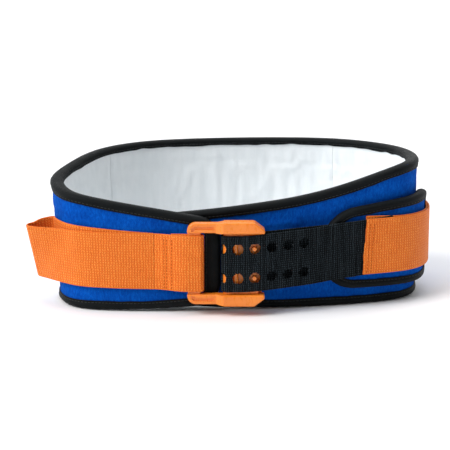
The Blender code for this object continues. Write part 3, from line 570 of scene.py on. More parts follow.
def make(name, points, faces, paints, uv=None, face_paint=None):
    """A closed mesh object: uv is per point in millimetres, face_paint the paint's number for each face."""
    mesh = bpy.data.meshes.new(name)
    mesh.from_pydata(np.asarray(points).tolist(), [], [list(map(int, f)) for f in faces])
    for paint in paints:
        mesh.materials.append(paint)
    if face_paint is not None:
        mesh.polygons.foreach_set("material_index", np.asarray(face_paint, np.int32))
    layer = mesh.uv_layers.new(name="flat")
    if uv is not None:
        corners = np.empty(len(mesh.loops), np.int32)
        mesh.loops.foreach_get("vertex_index", corners)
        layer.data.foreach_set("uv", np.asarray(uv, np.float32)[corners].ravel())
    bm = bmesh.new()
    bm.from_mesh(mesh)
    bmesh.ops.recalc_face_normals(bm, faces=bm.faces)
    bm.to_mesh(mesh)
    bm.free()
    mesh.shade_smooth()
    mesh.set_sharp_from_angle(angle=SHARP)
    obj = bpy.data.objects.new(name, mesh)
    bpy.context.scene.collection.objects.link(obj)
    return obj


def grid_faces(rows, columns, wrap_rows=False, wrap_columns=False):
    """The four corners of each cell of a grid of points, as numbers of points."""
    i = np.arange(rows if wrap_rows else rows - 1)
    j = np.arange(columns if wrap_columns else columns - 1)
    i, j = np.meshgrid(i, j, indexing="ij")
    a, b = (i + 1) % rows, (j + 1) % columns
    corners = [i * columns + j, a * columns + j, a * columns + b, i * columns + b]
    return np.stack(corners, -1).reshape(-1, 4)


def cloth(name, front, back, uv, paints, keep=None, extra=None):
    """A closed sheet between two grids of points. keep says which cells stay, so a grid can have holes."""
    n, m = front.shape[:2]
    keep = np.ones((n - 1, m - 1), bool) if keep is None else keep
    cells = grid_faces(n, m).reshape(n - 1, m - 1, 4)[keep]
    faces = [cells, cells[:, ::-1] + n * m]
    padded = np.pad(keep, 1)
    for axis, step in ((0, m), (1, 1)):
        other = 1 if axis == 0 else m
        before = padded[:-1, 1:-1] if axis == 0 else padded[1:-1, :-1]
        after = padded[1:, 1:-1] if axis == 0 else padded[1:-1, 1:]
        i, j = np.nonzero(before != after)
        a = i * m + j
        faces.append(np.stack([a, a + other, a + other + n * m, a + n * m], -1))
    faces = np.vstack(faces)
    points = np.vstack([front.reshape(-1, 3), back.reshape(-1, 3)])
    flat = np.vstack([uv.reshape(-1, 2)] * 2) / MM
    used, faces = np.unique(faces, return_inverse=True)
    faces = faces.reshape(-1, 4)
    points, flat = points[used], flat[used]
    faces, paint_of = list(faces), [0] * len(faces)
    if extra:
        more_points, more_faces = extra
        faces += [tuple(k + len(points) for k in f) for f in more_faces]
        paint_of += [1] * len(more_faces)
        flat = np.vstack([flat, np.zeros((len(more_points), 2))])
        points = np.vstack([points, more_points])
    return make(name, points, faces, paints, flat, paint_of)


def ply(name, s, z, out, thickness, paint):
    """An even layer of cloth laid on the body, its middle out metres outside the body's middle layer."""
    outer, inner = on_body(s, out + thickness / 2, z), on_body(s, out - thickness / 2, z)
    return cloth(name, outer, inner, np.stack([s, z], -1), [paint])


def normals_of(grid):
    """Unit normals of a grid surface, to the left of its first direction seen from above."""
    along = np.gradient(grid, axis=0)
    across = np.gradient(grid, axis=1)
    made = np.cross(across, along)
    return made / np.maximum(np.linalg.norm(made, axis=-1, keepdims=True), 1e-12)


# Threads' rings: (share of half the length, share of the radius)
STITCH_RINGS = (-1, 0.25), (-0.82, 0.8), (-0.35, 1), (0.35, 1), (0.82, 0.8), (1, 0.25)
FIBRE_RINGS = (-1, 0.3), (0, 1), (1, 0.2)


def capsules(centres, along, out, length, radius, sides=6, rings=STITCH_RINGS):
    """Points and faces of many short round threads."""
    centres, along, out = (np.asarray(x, float) for x in (centres, along, out))
    length = np.broadcast_to(np.asarray(length, float), len(centres))
    side = np.cross(along, out)
    turns = np.linspace(0, 2 * math.pi, sides, endpoint=False)
    points = np.stack([
        centres + along * (t * length / 2)[:, None] + (out * math.cos(a) + side * math.sin(a)) * radius * r
        for t, r in rings for a in turns
    ], 1)
    per = len(rings) * sides
    one = [tuple(f) for f in grid_faces(len(rings), sides, wrap_columns=True)]
    one += [tuple(range(sides)), tuple(range(per - sides, per))[::-1]]
    faces = [tuple(k + per * i for k in f) for i in range(len(centres)) for f in one]
    return points.reshape(-1, 3), faces


def stitches(name, rows, length, radius, paint):
    """One mesh of the stitches of some rows: each row's centres, directions and outward directions."""
    centres, along, out = (np.vstack(part) for part in zip(*rows))
    points, faces = capsules(centres, along, out, length, radius)
    return make(name, points, faces, [paint])


def unit(v):
    return v / np.maximum(np.linalg.norm(v, axis=-1, keepdims=True), 1e-12)


def place(obj, body, replaced=(), blended=None):
    """Hide the nodes a piece stands for, and hang it on the body it rides on; a piece with a blend is only
    baked in place.
    """
    if replaced:
        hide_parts(*replaced)
    if blended:
        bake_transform(obj)
    else:
        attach(obj, body)
    return obj


# ---------------------------------------------------------------- swelling of the padding

SWELLING_FRAMES = 20
SWELLING = {
    "quality": 4, "mass": 0.15, "tension_stiffness": 10, "compression_stiffness": 10, "shear_stiffness": 4,
    "bending_stiffness": 0.4, "use_pressure": True, "uniform_pressure_force": 4, "shrink_min": -0.02,
    "vertex_group_mass": "held", "pin_stiffness": 0.6,
}


def swelling(name, panel, middle, half, held_outer, held_inner, step, rows, cap):
    """How far a padded panel's two faces puff out: a cloth simulation of its shell, held at the edges.

    Returns the panel's coarse grid and the two faces' travel along their normals, which is cap at most.
    """
    s, z = panel.grid(step, rows)
    n, m = s.shape
    rise = smoothstep(8 * MM, 22 * MM, panel.inset(s, z))
    free = [rise * (1 - held_outer(s, z)), rise * (1 - held_inner(s, z))]
    still = np.stack([on_body(s, middle + side * half, z) for side in (1, -1)])
    front = grid_faces(n, m)
    border = [(i, 0) for i in range(n)] + [(n - 1, j) for j in range(1, m)]
    border += [(i, m - 1) for i in range(n - 2, -1, -1)] + [(0, j) for j in range(m - 2, 0, -1)]
    border = [i * m + j for i, j in border]
    rim = [(a, b, b + n * m, a + n * m) for a, b in zip(border, border[1:] + border[:1])]
    shell = make(name, still.reshape(-1, 3), [*front, *(front[:, ::-1] + n * m), *rim], [PADDING])
    held = shell.vertex_groups.new(name="held")
    weights = np.round(1 - 0.8 * np.concatenate([f.ravel() for f in free]), 2)
    for weight in np.unique(weights):
        held.add(np.nonzero(weights == weight)[0].tolist(), float(weight), "REPLACE")
    puff = shell.modifiers.new("puff", "CLOTH")
    puff.collision_settings.use_collision = False
    puff.settings.effector_weights.gravity = 0
    for key, value in SWELLING.items():
        setattr(puff.settings, key, value)
    scene = bpy.context.scene
    for moment in range(1, SWELLING_FRAMES + 1):
        scene.frame_set(moment)
    graph = bpy.context.evaluated_depsgraph_get()
    puffed = shell.evaluated_get(graph).to_mesh()
    moved = np.empty(len(puffed.vertices) * 3, np.float32)
    puffed.vertices.foreach_get("co", moved)
    moved = moved.reshape(2, n, m, 3).astype(float)
    shell.evaluated_get(graph).to_mesh_clear()
    scene.frame_set(1)
    bpy.data.objects.remove(shell, do_unlink=True)
    travel = []
    out = BODY.normal(s)
    for went, face, side, share in zip(moved, still, (1, -1), free):
        away = ((went - face)[..., :2] * out).sum(-1) * side
        travel.append(cap * np.tanh(np.maximum(away, -0.3 * MM) / cap) * np.minimum(1, share * 1.5))
    return s, z, travel


def read_grid(panel, grid_s, values, s, z):
    """A coarse grid's values at finer places of the same panel."""
    columns = grid_s[:, 0]
    low, high = panel.span(s)
    share = np.clip((z - low) / np.maximum(high - low, 1e-9), 0, 1) * (values.shape[1] - 1)
    i = np.clip(np.searchsorted(columns, s) - 1, 0, len(columns) - 2)
    f = np.clip((s - columns[i]) / (columns[i + 1] - columns[i]), 0, 1)
    j = np.clip(share.astype(int), 0, values.shape[1] - 2)
    g = share - j
    return (
        values[i, j] * (1 - f) * (1 - g) + values[i + 1, j] * f * (1 - g)
        + values[i, j + 1] * (1 - f) * g + values[i + 1, j + 1] * f * g
    )


# ---------------------------------------------------------------- padded body

body = Panel(0.0, BODY.length, body_bottom, body_top, LEFT_CORNER, RIGHT_CORNER)
pad_start = BODY.nearest(*PAD_RIGHT, start=HALFWAY)
pad_end = BODY.nearest(*PAD_LEFT, start=HALFWAY)
handle_far = BODY.nearest(-0.152, -0.034, end=0.3)


def pad_low(s):
    return 16 * MM + 2 * MM * (s - pad_start) / (pad_end - pad_start)


def pad_high(s):
    share = (s - pad_start) / (pad_end - pad_start)
    return 96 * MM - 13 * MM * share * share


def boxed(s, z, s_low, s_high, z_low, z_high, soft=10 * MM):
    """1 inside a rectangle of the flat pattern, falling to 0 over soft metres outside it."""
    a = smoothstep(s_low - soft, s_low, s) * (1 - smoothstep(s_high, s_high + soft, s))
    return a * smoothstep(z_low - soft, z_low, z) * (1 - smoothstep(z_high, z_high + soft, z))


def pressed_outside(s, z):
    """Where webbing, the pad or the other end lies on the outer face."""
    handle = boxed(s, z, -40 * MM, handle_far + 4 * MM, 20 * MM, 77 * MM)
    pad = boxed(s, z, pad_start - 3 * MM, pad_end + 3 * MM, 14 * MM, 103 * MM)
    lap = smoothstep(BODY.length - 120 * MM, BODY.length - 100 * MM, s)
    end = 1 - smoothstep(45 * MM, 60 * MM, s)
    return np.maximum.reduce([handle, pad, lap, end])


def pressed_inside(s, z):
    """Where the ends lie on each other, the lining stays flat."""
    far_end = 0.4 * smoothstep(BODY.length - 90 * MM, BODY.length, s)
    return np.maximum(1 - smoothstep(90 * MM, 115 * MM, s), far_end)


grid_s, _, (puff_out, puff_in) = swelling(
    "padding_shell", body, 0.0, FOAM / 2, pressed_outside, pressed_inside, 4.2 * MM, 30, 1.5 * MM
)


def edge_ease(panel, s, z, start=8.5 * MM, end=16 * MM):
    """0 under the tape, 1 well inside the panel."""
    return smoothstep(start, end, panel.inset(s, z))


def outer_puff(s, z):
    soft = read_grid(body, grid_s, puff_out, s, z)
    free = 1 - pressed_outside(s, z)
    return soft + 0.22 * MM * free * ripple(s, z, 3, 33 * MM, 26 * MM) * edge_ease(body, s, z)


# The lining's longer creases: place as a share of the body's length, slant, width and depth in millimetres,
# and the shares of the height where it ends at the top and the bottom
CREASES = (
    (0.548, -0.33, 3.4, 1.15, 0.97, 0.12), (0.563, -0.10, 2.2, 0.6, 0.96, 0.4),
    (0.475, 0.04, 3.0, 0.7, 0.9, 0.2), (0.505, -0.05, 2.4, 0.55, 0.97, 0.5),
    (0.425, 0.05, 3.5, 0.55, 0.92, 0.15), (0.37, -0.06, 3.0, 0.6, 0.7, 0.05),
    (0.66, 0.12, 3.4, 0.6, 0.95, 0.3), (0.73, -0.12, 3.0, 0.55, 0.9, 0.1),
)


def puckers(s, z):
    """Soft upright creases of the lining, which is on the short side of the bend."""
    draw = np.random.RandomState(11)
    low, high = body.span(s)
    made = np.zeros_like(s)
    at = 95 * MM
    while at < BODY.length - 60 * MM:
        wide = draw.uniform(1.6, 4.2) * MM
        tall = draw.uniform(12, 60) * MM
        from_top = draw.uniform() < 0.62
        deep = draw.uniform(0.12, 0.62) * MM * draw.choice([1, 1, -1])
        slant = draw.uniform(-0.22, 0.22)
        anchor = high if from_top else low
        reach = (anchor - z) if from_top else (z - anchor)
        line = at + slant * reach + 1.2 * MM * np.sin(reach / (14 * MM) + at * 900)
        made += deep * np.exp(-(((s - line) / wide) ** 2)) * (1 - smoothstep(0.35 * tall, tall, reach))
        at += draw.uniform(5, 17) * MM
    share = (z - low) / np.maximum(high - low, 1e-9)
    for at, slant, wide, deep, top, bottom in CREASES:
        line = at * BODY.length - slant * (high - z) + 1.0 * MM * np.sin(z / (9 * MM))
        fade = smoothstep(bottom, bottom + 0.25, share) * (1 - smoothstep(top - 0.05, top, share))
        made += deep * MM * np.exp(-(((s - line) / (wide * MM)) ** 2)) * fade
    gathers = ripple(s, z, 21, 4.5 * MM, 60 * MM) * np.exp(-np.minimum(z - low, high - z) / (16 * MM))
    return made + 0.16 * MM * gathers + 0.3 * MM * ripple(s, z, 5, 22 * MM, 55 * MM)


def inner_puff(s, z):
    soft = read_grid(body, grid_s, puff_in, s, z)
    free = 1 - pressed_inside(s, z)
    return soft + puckers(s, z) * free * edge_ease(body, s, z, 6.8 * MM, 12 * MM)


def padding_piece(name, panel, middle, half, outer, inner, step, edge, node):
    """A closed block of padding with rounded edges, puffed by what outer and inner give."""
    s, z = panel.grid(step, 24)
    rounding = 0.55 + 0.45 * np.sqrt(1 - (1 - np.clip(panel.inset(s, z) / edge, 0, 1)) ** 2)
    half = (half - 0.05 * MM) * rounding
    front, back = on_body(s, middle + half + outer(s, z), z), on_body(s, middle - half - inner(s, z), z)
    made = cloth(name, front, back, np.stack([s, z], -1), [PADDING])
    place(made, "belt", [node])
    return made


padding = padding_piece(
    "belt_padding", body, 0.0, FOAM / 2, outer_puff, inner_puff, 5 * MM, 4 * MM, "foam_core"
)

s, z = body.grid(2.6 * MM, 52)
outer_cloth = ply("outer_cloth", s, z, CLOTH_OUT + outer_puff(s, z), CLOTH, BLUE)
place(outer_cloth, "belt", ["outer_cover"])
body.area()

# Lining, three panels that turn in at their seams
seams = (0.0, SEAM_LEFT * BODY.length, SEAM_RIGHT * BODY.length, BODY.length)
for k, side in enumerate(("left", "back", "right")):
    start = seams[k] + GAP / 2 if k else None
    end = seams[k + 1] - GAP / 2 if k < 2 else None
    s, z = body.grid(2.2 * MM, 56, start, end)
    turn_in = np.zeros_like(s)
    for seam in seams[1:3]:
        away = np.abs(s - seam)
        turn_in += 0.45 * MM * np.exp(-((away / (1.5 * MM)) ** 2))
        turn_in -= 0.3 * MM * np.exp(-(((away - 4 * MM) / (2 * MM)) ** 2))
    out = -(CLOTH_OUT + inner_puff(s, z) - turn_in * edge_ease(body, s, z, 6.8 * MM, 9 * MM))
    lining = ply("lining_cloth_" + side, s, z, out, CLOTH, WHITE)
    place(lining, "belt", ["lining_" + side])
    places = s[:, 0]
    low, high = body.span(places)
    body.area(places)


# ---------------------------------------------------------------- binding tape and stitches

TUCK = 1.7 * MM  # from a leg's raw edge in to its stitches
TAPE_HEM = 0.3 * MM
BULGE = 0.6 * MM
TAPE_STEP, STITCH_STEP = 2.4 * MM, 3.3 * MM


def tape_section(face, outer_leg, inner_leg):
    """The tape's closed section as (reach, out): reach is inward from the padding's edge."""
    outer = [  # from the outer leg's raw edge over the stitched valley and the roll
        (outer_leg, face - 0.75 * MM), (outer_leg + 0.08 * MM, face - 0.4 * MM),
        (outer_leg - 0.1 * MM, face - 0.08 * MM), (outer_leg - 0.7 * MM, face + 0.02 * MM),
        (outer_leg - TUCK, face - 0.2 * MM), (outer_leg - TUCK - 1.0 * MM, face + 0.1 * MM),
        (outer_leg * 0.45, face + BULGE), (outer_leg * 0.22, face + 0.6 * BULGE), (0.1 * MM, face * 0.87),
        (-0.55 * MM, face * 0.66), (-0.95 * MM, face * 0.38), (-1.1 * MM, face * 0.12),
    ]
    inner = [(reach * inner_leg / outer_leg if reach > 0.5 * MM else reach, -out) for reach, out in outer]
    inner[0] = (inner_leg, -(face - 0.75 * MM))
    inner[4] = (inner_leg - TUCK, -(face - 0.2 * MM))
    hidden = [  # the tape's own thickness
        (inner_leg - TAPE_HEM, -(face - 0.72 * MM)), (0.6 * MM, -(face - 0.8 * MM)),
        (-0.35 * MM, -face * 0.35), (-0.35 * MM, face * 0.35),
        (0.6 * MM, face - 0.8 * MM), (outer_leg - TAPE_HEM, face - 0.72 * MM),
    ]
    return np.array([*outer, *inner[::-1], *hidden])


def binding(name, panel, middle, half, outer_leg, inner_leg, replaced, seed, end_leg_and_shade=0.0):
    """Tape folded over an edge: a flat leg on each face, a stitched valley, and a full roll between."""
    line, inward, at = panel.edge(TAPE_STEP)
    face = half + GAP + CLOTH
    loop = tape_section(face, outer_leg, inner_leg)
    n, m = len(line), len(loop)
    reach, out = np.repeat(loop[None, :, 0], n, 0), np.repeat(loop[None, :, 1], n, 0)
    run = at[-1] + at[1]
    theta = at / run
    along = np.repeat(theta[:, None] * run, m, 1)
    inner_side = out < 0

    def fade(theta):
        """0 where the run's ends meet, so that the unevenness closes on itself."""
        return np.minimum(1, np.minimum(theta, 1 - theta) * 60)

    def drift(along):
        return 0.5 * MM * ripple(along, along * 0, seed + 1, 38 * MM, 1)

    # The outer leg widens at the body's left end: the extra black is partly binding and partly painted shade
    # behind the buckle.
    def widening_and_shade(inward):
        return end_leg_and_shade * np.maximum(inward[:, 0], 0) ** 2

    ease = fade(theta)[:, None]
    wobble = np.where(inner_side, 0.6, 0.25) * MM * ripple(along, out * 40, seed, 9 * MM, 100 * MM)
    leg = smoothstep(2 * MM, inner_leg, reach)
    reach = reach + leg * ease * (wobble + drift(along))
    wide = smoothstep(2 * MM, outer_leg - TUCK - MM, reach) * widening_and_shade(inward)[:, None]
    reach = reach + np.where(inner_side, 0, wide)
    out = out * (1 + (1 - leg) * ease * 0.035 * ripple(along, out, seed + 2, 14 * MM, 1))
    flat_s = line[:, :1] + inward[:, :1] * reach
    flat_z = line[:, 1:] + inward[:, 1:] * reach
    if panel is body:
        flat_z = np.maximum(flat_z, 0.02 * MM)
    points = on_body(flat_s, middle + out, flat_z).reshape(-1, 3)
    width = np.concatenate([[0], np.cumsum(np.linalg.norm(np.diff(loop, axis=0), axis=1))])
    uv = np.stack([along, np.repeat(width[None], n, 0)], -1).reshape(-1, 2) / MM
    tape = make(name, points, grid_faces(n, m, True, True), [TAPE], uv)
    place(tape, "belt", replaced)

    # Two rows of lockstitch, one on each face
    line, inward, at = panel.edge(STITCH_STEP)
    onward = np.column_stack([inward[:, 1], -inward[:, 0]])
    rows = []
    for side, leg_end in ((1, outer_leg), (-1, inner_leg)):
        reach = leg_end - TUCK + drift(at) * fade(at / run) * smoothstep(2 * MM, inner_leg, leg_end - TUCK)
        if side == 1:
            reach = reach + widening_and_shade(inward)
        where = line + inward * reach[:, None]
        level_out = middle + side * (face - 0.1 * MM)
        centre = on_body(where[:, 0], level_out, where[:, 1])
        ahead = on_body(where[:, 0] + onward[:, 0] * MM, level_out, where[:, 1] + onward[:, 1] * MM)
        lifted = on_body(where[:, 0], level_out + side * MM, where[:, 1])
        rows.append((centre, unit(ahead - centre), unit(lifted - centre)))
    sewn = stitches(name + "_stitches", rows, 2.5 * MM, 0.34 * MM, BLACK_THREAD)
    place(sewn, "belt")


binding(
    "edge_tape", body, 0.0, SURFACE, TAPE_OUTER_LEG, TAPE_INNER_LEG,
    ["edge_binding_lower", "edge_binding_upper"], 31, TAPE_END_LEG_AND_SHADE,
)


# ---------------------------------------------------------------- hook patches

HOOK_STEP = 0.9 * MM
HOOK_PITCH = 1.8 * MM


def hook_patch(node, body_name, start, end, low, high, corner, out, thickness):
    """A piece of hook tape with its rows of hooks standing off its inner face."""
    panel = Panel(start, end, level(low), level(high), corner, corner)
    s, z = panel.grid(HOOK_STEP, int(round((high - low) / HOOK_STEP)))
    bumps = np.maximum(0, np.sin(s / HOOK_PITCH * 2 * math.pi) * np.sin(z / HOOK_PITCH * 2 * math.pi))
    hooks = 0.22 * MM * bumps * edge_ease(panel, s, z, 0.8 * MM, 1.6 * MM)
    base = thickness / 2 - 0.2 * MM
    plain, hooked = on_body(s, out + base, z), on_body(s, out - (base - 0.1 * MM + hooks), z)
    patch = cloth(node + "_patch", hooked, plain, np.stack([s, z], -1), [HOOK])
    place(patch, body_name, [node])


hook_patch(
    "closure_hook", "belt", 14 * MM, 62 * MM, 24 * MM, 62 * MM, 4 * MM, -(SURFACE + GAP + 0.4 * MM), 0.8 * MM
)

# ---------------------------------------------------------------- side pad

pad = Panel(pad_start, pad_end, pad_low, pad_high, PAD_RIGHT_CORNER, PAD_LEFT_CORNER)


def pressed_pad(s, z):
    """The strap and the tab lie over the middle of the pad."""
    return boxed(s, z, pad_start - 20 * MM, pad_end + 40 * MM, 27 * MM, 83 * MM, 6 * MM)


pad_s, _, (pad_puff, _) = swelling(
    "side_pad_shell", pad, PAD_MIDDLE, PAD_FOAM / 2, pressed_pad, level(1), 3.4 * MM, 24, 1.1 * MM
)


def side_puff(s, z):
    return read_grid(pad, pad_s, pad_puff, s, z)


side_padding = padding_piece(
    "side_pad_padding", pad, PAD_MIDDLE, PAD_FOAM / 2, side_puff, level(0), 3.2 * MM, 3 * MM, "pad_foam"
)
s, z = pad.grid(2.0 * MM, 40)
side_cloth = ply("side_pad_cloth", s, z, PAD_MIDDLE + PAD_CLOTH + side_puff(s, z), CLOTH, BLUE)
side_backing = ply("side_pad_backing", s, z, PAD_MIDDLE - PAD_CLOTH, CLOTH, BLUE)
pad_flat = pad_end - pad_start, float(pad_high(pad_start) - pad_low(pad_start))
pad_area = min(pad.area(), 0.999 * pad_flat[0] * pad_flat[1])
for made, node in ((side_cloth, "pad_cover"), (side_backing, "pad_backing")):
    place(made, "belt", [node])
binding(
    "side_pad_tape", pad, PAD_MIDDLE, PAD_CLOTH + CLOTH / 2, PAD_OUTER_LEG, PAD_INNER_LEG,
    ["pad_binding"], 57,
)
hook_patch(
    "pad_hook", "belt", pad_start + 14 * MM, pad_end - 14 * MM, 32 * MM, 74 * MM, 4 * MM, PAD_HOOK, 1.0 * MM
)


# ---------------------------------------------------------------- webbing

FIBRES = 11  # round each hole
RIB_PITCH = 1.2 * MM

def across_places(step=1.3 * MM):
    """Heights across webbing, close together at the rounded selvedges."""
    edge = np.array([0, 0.12, 0.35, 0.7, 1.2]) * MM
    count = int((WEB_WIDTH - 2 * edge[-1]) / step)
    inner = np.linspace(edge[-1], WEB_WIDTH - edge[-1], count + 1)[1:-1]
    return np.concatenate([edge, inner, (WEB_WIDTH - edge)[::-1]]) - WEB_WIDTH / 2


def band_grid(route, s, v, lean=None, lift=None):
    """The middle surface of webbing on edge along a route: s is a column of lengths, v a row of heights."""
    s, v = np.broadcast_arrays(s, v)
    p = route.point(s)
    x, y, z = p[..., 0], p[..., 1], p[..., 2] + v
    middle_x = np.zeros_like(x)
    if lift is not None:
        z = z + lift(s, v)
    if lean is not None:
        shift = lean(s) * (v / WEB_WIDTH)[..., None]
        x, y = x + shift[..., 0], y + shift[..., 1]
        line = route.point(s[:, 0])
        samples = np.linspace(0, HALFWAY, 801)
        there = BODY.point(samples)
        near = samples[np.argmin(((line[:, None, :2] - there[None]) ** 2).sum(-1), axis=1)]
        middle_x = np.repeat(BODY.point(near)[:, 0][:, None], s.shape[1], 1)
    return leaned(x, y, z, middle_x)


def punch(s, v, holes):
    """The grid's places drawn on to the rims of round holes, and which cells stay."""
    keep = np.ones((s.shape[0] - 1, s.shape[1] - 1), bool)
    for s0, v0 in holes:
        ds, dv = s - s0, v - v0
        away = np.sqrt(ds**2 + dv**2)
        angle = np.arctan2(dv, ds)
        rim = HOLE_R * (1 + 0.02 * np.sin(5 * angle + 1000 * s0) + 0.012 * np.sin(11 * angle))
        scale = np.where(np.abs(away - rim) < 0.46 * MM, rim / np.maximum(away, 1e-9), 1)
        s, v = s0 + ds * scale, v0 + dv * scale
        cell = (away[:-1, :-1] + away[1:, :-1] + away[:-1, 1:] + away[1:, 1:]) / 4
        keep &= cell > HOLE_R
    return s, v, keep


def frayed_fibres(route, holes, seed):
    """Short loose threads round the rims of punched holes."""
    draw = np.random.RandomState(seed)
    centres, directions, ups = [], [], []
    for s0, v0 in holes:
        for _ in range(FIBRES):
            a = draw.uniform(0, 2 * math.pi)
            r = HOLE_R - draw.uniform(-0.1, 0.45) * MM
            sc, vc = s0 + r * math.cos(a), v0 + r * math.sin(a)
            p = band_grid(route, np.array([[sc, sc + 0.1 * MM]]).T, np.array([[vc, vc + 0.1 * MM]]))
            out = np.array([*route.normal(np.array(sc)), 0])
            tangent, upright = unit(p[1, 0] - p[0, 0]), np.array([0, 0, 1.0])
            b = a + draw.uniform(-0.9, 0.9)
            aim = unit(-(tangent * math.cos(b) + upright * math.sin(b)) + out * draw.uniform(-0.2, 0.5))
            centres.append(p[0, 0] + out * draw.uniform(0.2, 0.75) * MM)
            directions.append(aim)
            ups.append(unit(np.cross(aim, out)))
    lengths = draw.uniform(0.5, 1.25, len(centres)) * MM
    return capsules(centres, directions, ups, lengths, 0.075 * MM, 4, FIBRE_RINGS)


def webbing_piece(
    name, route, s, paints, seed, lean=None, lift=None, warp=None, waves=0.0, ribs=0.0, holes=(), uv_start=0.0
):
    """Webbing along part of a route, with selvedges, relief and punched holes.

    lean and lift bend it, warp moves its places along, waves and ribs are the depths of its unevenness.
    """
    s, v = (grid.copy() for grid in np.broadcast_arrays(s[:, None], across_places()[None, :]))
    if warp is not None:
        s = warp(s, v)
    s, v, keep = punch(s, v, holes)
    middle = band_grid(route, s, v, lean, lift)
    out = normals_of(middle)
    flip = np.sign((out[..., :2] * route.normal(s)).sum(-1, keepdims=True))
    out = out * np.where(flip == 0, 1, flip)
    from_edge = WEB_WIDTH / 2 - np.abs(v)
    rounding = 0.22 + 0.78 * np.sqrt(1 - (1 - np.clip(from_edge / (0.75 * MM), 0, 1)) ** 2)
    half = WEB / 2 * rounding
    relief = ribs * np.sin(2 * math.pi * (s + uv_start) / RIB_PITCH)
    relief = relief * smoothstep(0.3 * MM, 1.6 * MM, from_edge)
    bow = waves * (ripple(s, v, seed, 24 * MM, 30 * MM) + 0.4 * ripple(s, v, seed + 7, 9 * MM, 14 * MM))
    middle = middle + out * bow[..., None]
    front = middle + out * (half + relief)[..., None]
    back = middle - out * (half - relief)[..., None]
    fibres = frayed_fibres(route, holes, seed + 100) if holes and len(paints) > 1 else None
    return cloth(name, front, back, np.stack([s + uv_start, v], -1), paints, keep, fibres)


def even(start, end, step):
    return np.linspace(start, end, max(2, int(math.ceil((end - start) / step))) + 1)


# Hand loop
base_end = BODY.nearest(-0.062, -0.080, end=0.3)
base_turn = BODY.nearest(-0.150, -0.046, end=0.3)
front_leave = BODY.nearest(-0.131, -0.070, end=0.3)
k = np.arange(21) / 20
base = beside(base_end + (base_turn - base_end) * k, HANDLE_BASE + 1.2 * MM * k**4)
tip = arc(HAND_TIP, 3.6 * MM, 75, 239, 6)
k = np.arange(13) / 12
front = beside(front_leave - (front_leave - base_end) * k, HANDLE_FRONT + 0.2 * MM + 0 * k)
outward = [base[-1] + (tip[0] - base[-1]) * share for share in (0.58, 0.88)]
onward = [tip[-1] + (front[0] - tip[-1]) * share for share in (0.05, 0.15, 0.4)]
hand = Route(
    raise_to(base, 45.9 * MM, 53.5 * MM) + raise_to(outward, 52 * MM, 50 * MM)
    + raise_to(tip, 49 * MM, 47.4 * MM) + raise_to(onward, 47.3 * MM, 47 * MM)
    + raise_to(front, 46.8 * MM, BUCKLE_Z)
)
tip_run = hand.nearest(HAND_TIP[0] - 3.6 * MM, HAND_TIP[1])


def hand_lean(s):
    share = np.exp(-(((s - tip_run) / np.where(s < tip_run, 13 * MM, 28 * MM)) ** 2))
    return np.stack([-5 * MM * share, -17 * MM * share], -1)


loop_web = webbing_piece(
    "hand_loop", hand, even(0, hand.length, 1.3 * MM), [ORANGE_WEB], 71, lean=hand_lean, waves=0.13 * MM
)
place(loop_web, "belt", ["handle_webbing"])

# Webbing folded round the buckle's left bar
wrap_y = (BAR_FRONT + BAR_BACK) / 2
wrap_r = (BAR_BACK - BAR_FRONT) / 2 + 1.3 * GAP + WEB / 2
fold_start = beside(np.array(base_end - GAP), HANDLE_FRONT + 0.2 * MM)
fold = [
    (fold_start[0] + GAP, fold_start[1]), (-0.052, -0.0905), (-0.042, -0.0951),
    (-0.034, wrap_y - wrap_r), (-0.026, wrap_y - wrap_r),
    *arc(np.array((BAR_RIGHT - wrap_r + 1.6 * GAP + WEB, wrap_y)), wrap_r, -90, 90, 8),
    (-0.026, wrap_y + wrap_r), (-0.034, wrap_y + wrap_r), (-0.047, -0.0888),
]
fold_route = Route(raise_to(fold, BUCKLE_Z, BUCKLE_Z))
FOLD_BLEND = ("belt", "buckle", world(-0.050, -0.09, BUCKLE_Z), world(-0.036, -0.09, BUCKLE_Z))
fold_places = even(0.02 * MM, fold_route.length, 0.9 * MM)
bar_wrap = webbing_piece("bar_wrap", fold_route, fold_places, [ORANGE_WEB], 72, uv_start=hand.length)
place(bar_wrap, None, ["bar_loop"], FOLD_BLEND)


def sewing(name, route, runs, slant=0.0):
    """Rows of stitches across webbing's right face, at lengths runs along its route."""
    v = np.arange(-22.5 * MM, 22.5 * MM, 3.0 * MM)
    rows = []
    for run in runs:
        s = run + slant * v / WEB_WIDTH
        centre = band_grid(route, s[:, None], np.zeros((len(v), 1)))[:, 0]
        up = np.zeros_like(centre)
        up[:, 2] = 1
        out = -np.column_stack([route.normal(s), np.zeros(len(s))])
        rows.append((centre + up * v[:, None] + out * (WEB / 2 + 0.1 * MM), up, out))
    return stitches(name, rows, 2.3 * MM, 0.33 * MM, ORANGE_THREAD)


wrap_sewing = sewing("bar_wrap_stitching", fold_route, (9 * MM, 11.6 * MM, 16.5 * MM))
place(wrap_sewing, None, ["bar_loop_stitches"], FOLD_BLEND)

# Perforated strap
strap_r = NOSE_R + GAP + WEB / 2
lower_start = BODY.nearest(0.112, -0.055, start=HALFWAY)
lower_end = BODY.nearest(0.088, -0.060, start=HALFWAY)
upper_start = BODY.nearest(0.098, -0.058, start=HALFWAY)
upper_end = BODY.nearest(0.141, -0.044, start=HALFWAY)
lower = beside(np.linspace(lower_start, lower_end, 3), STRAP_LOWER + np.zeros(3))
back = [(0.066, -0.0806), (0.040, -0.0858), (0.020, NOSE[1] + strap_r)]
curl = arc(NOSE, strap_r, 90, 270, 9)
front = [(0.018, NOSE[1] - strap_r), (0.034, -0.0982), (0.052, -0.0937), (0.076, -0.0850)]
upper = beside(np.linspace(upper_start, upper_end, 6), STRAP_UPPER + np.zeros(6))
strap_route = Route(
    raise_to(lower, 53 * MM, 51.5 * MM) + raise_to(back, 50 * MM, 46.6 * MM)
    + raise_to(curl, BUCKLE_Z, BUCKLE_Z) + raise_to(front, 46.4 * MM, 50.2 * MM)
    + raise_to(upper, 52.6 * MM, 56.6 * MM)
)
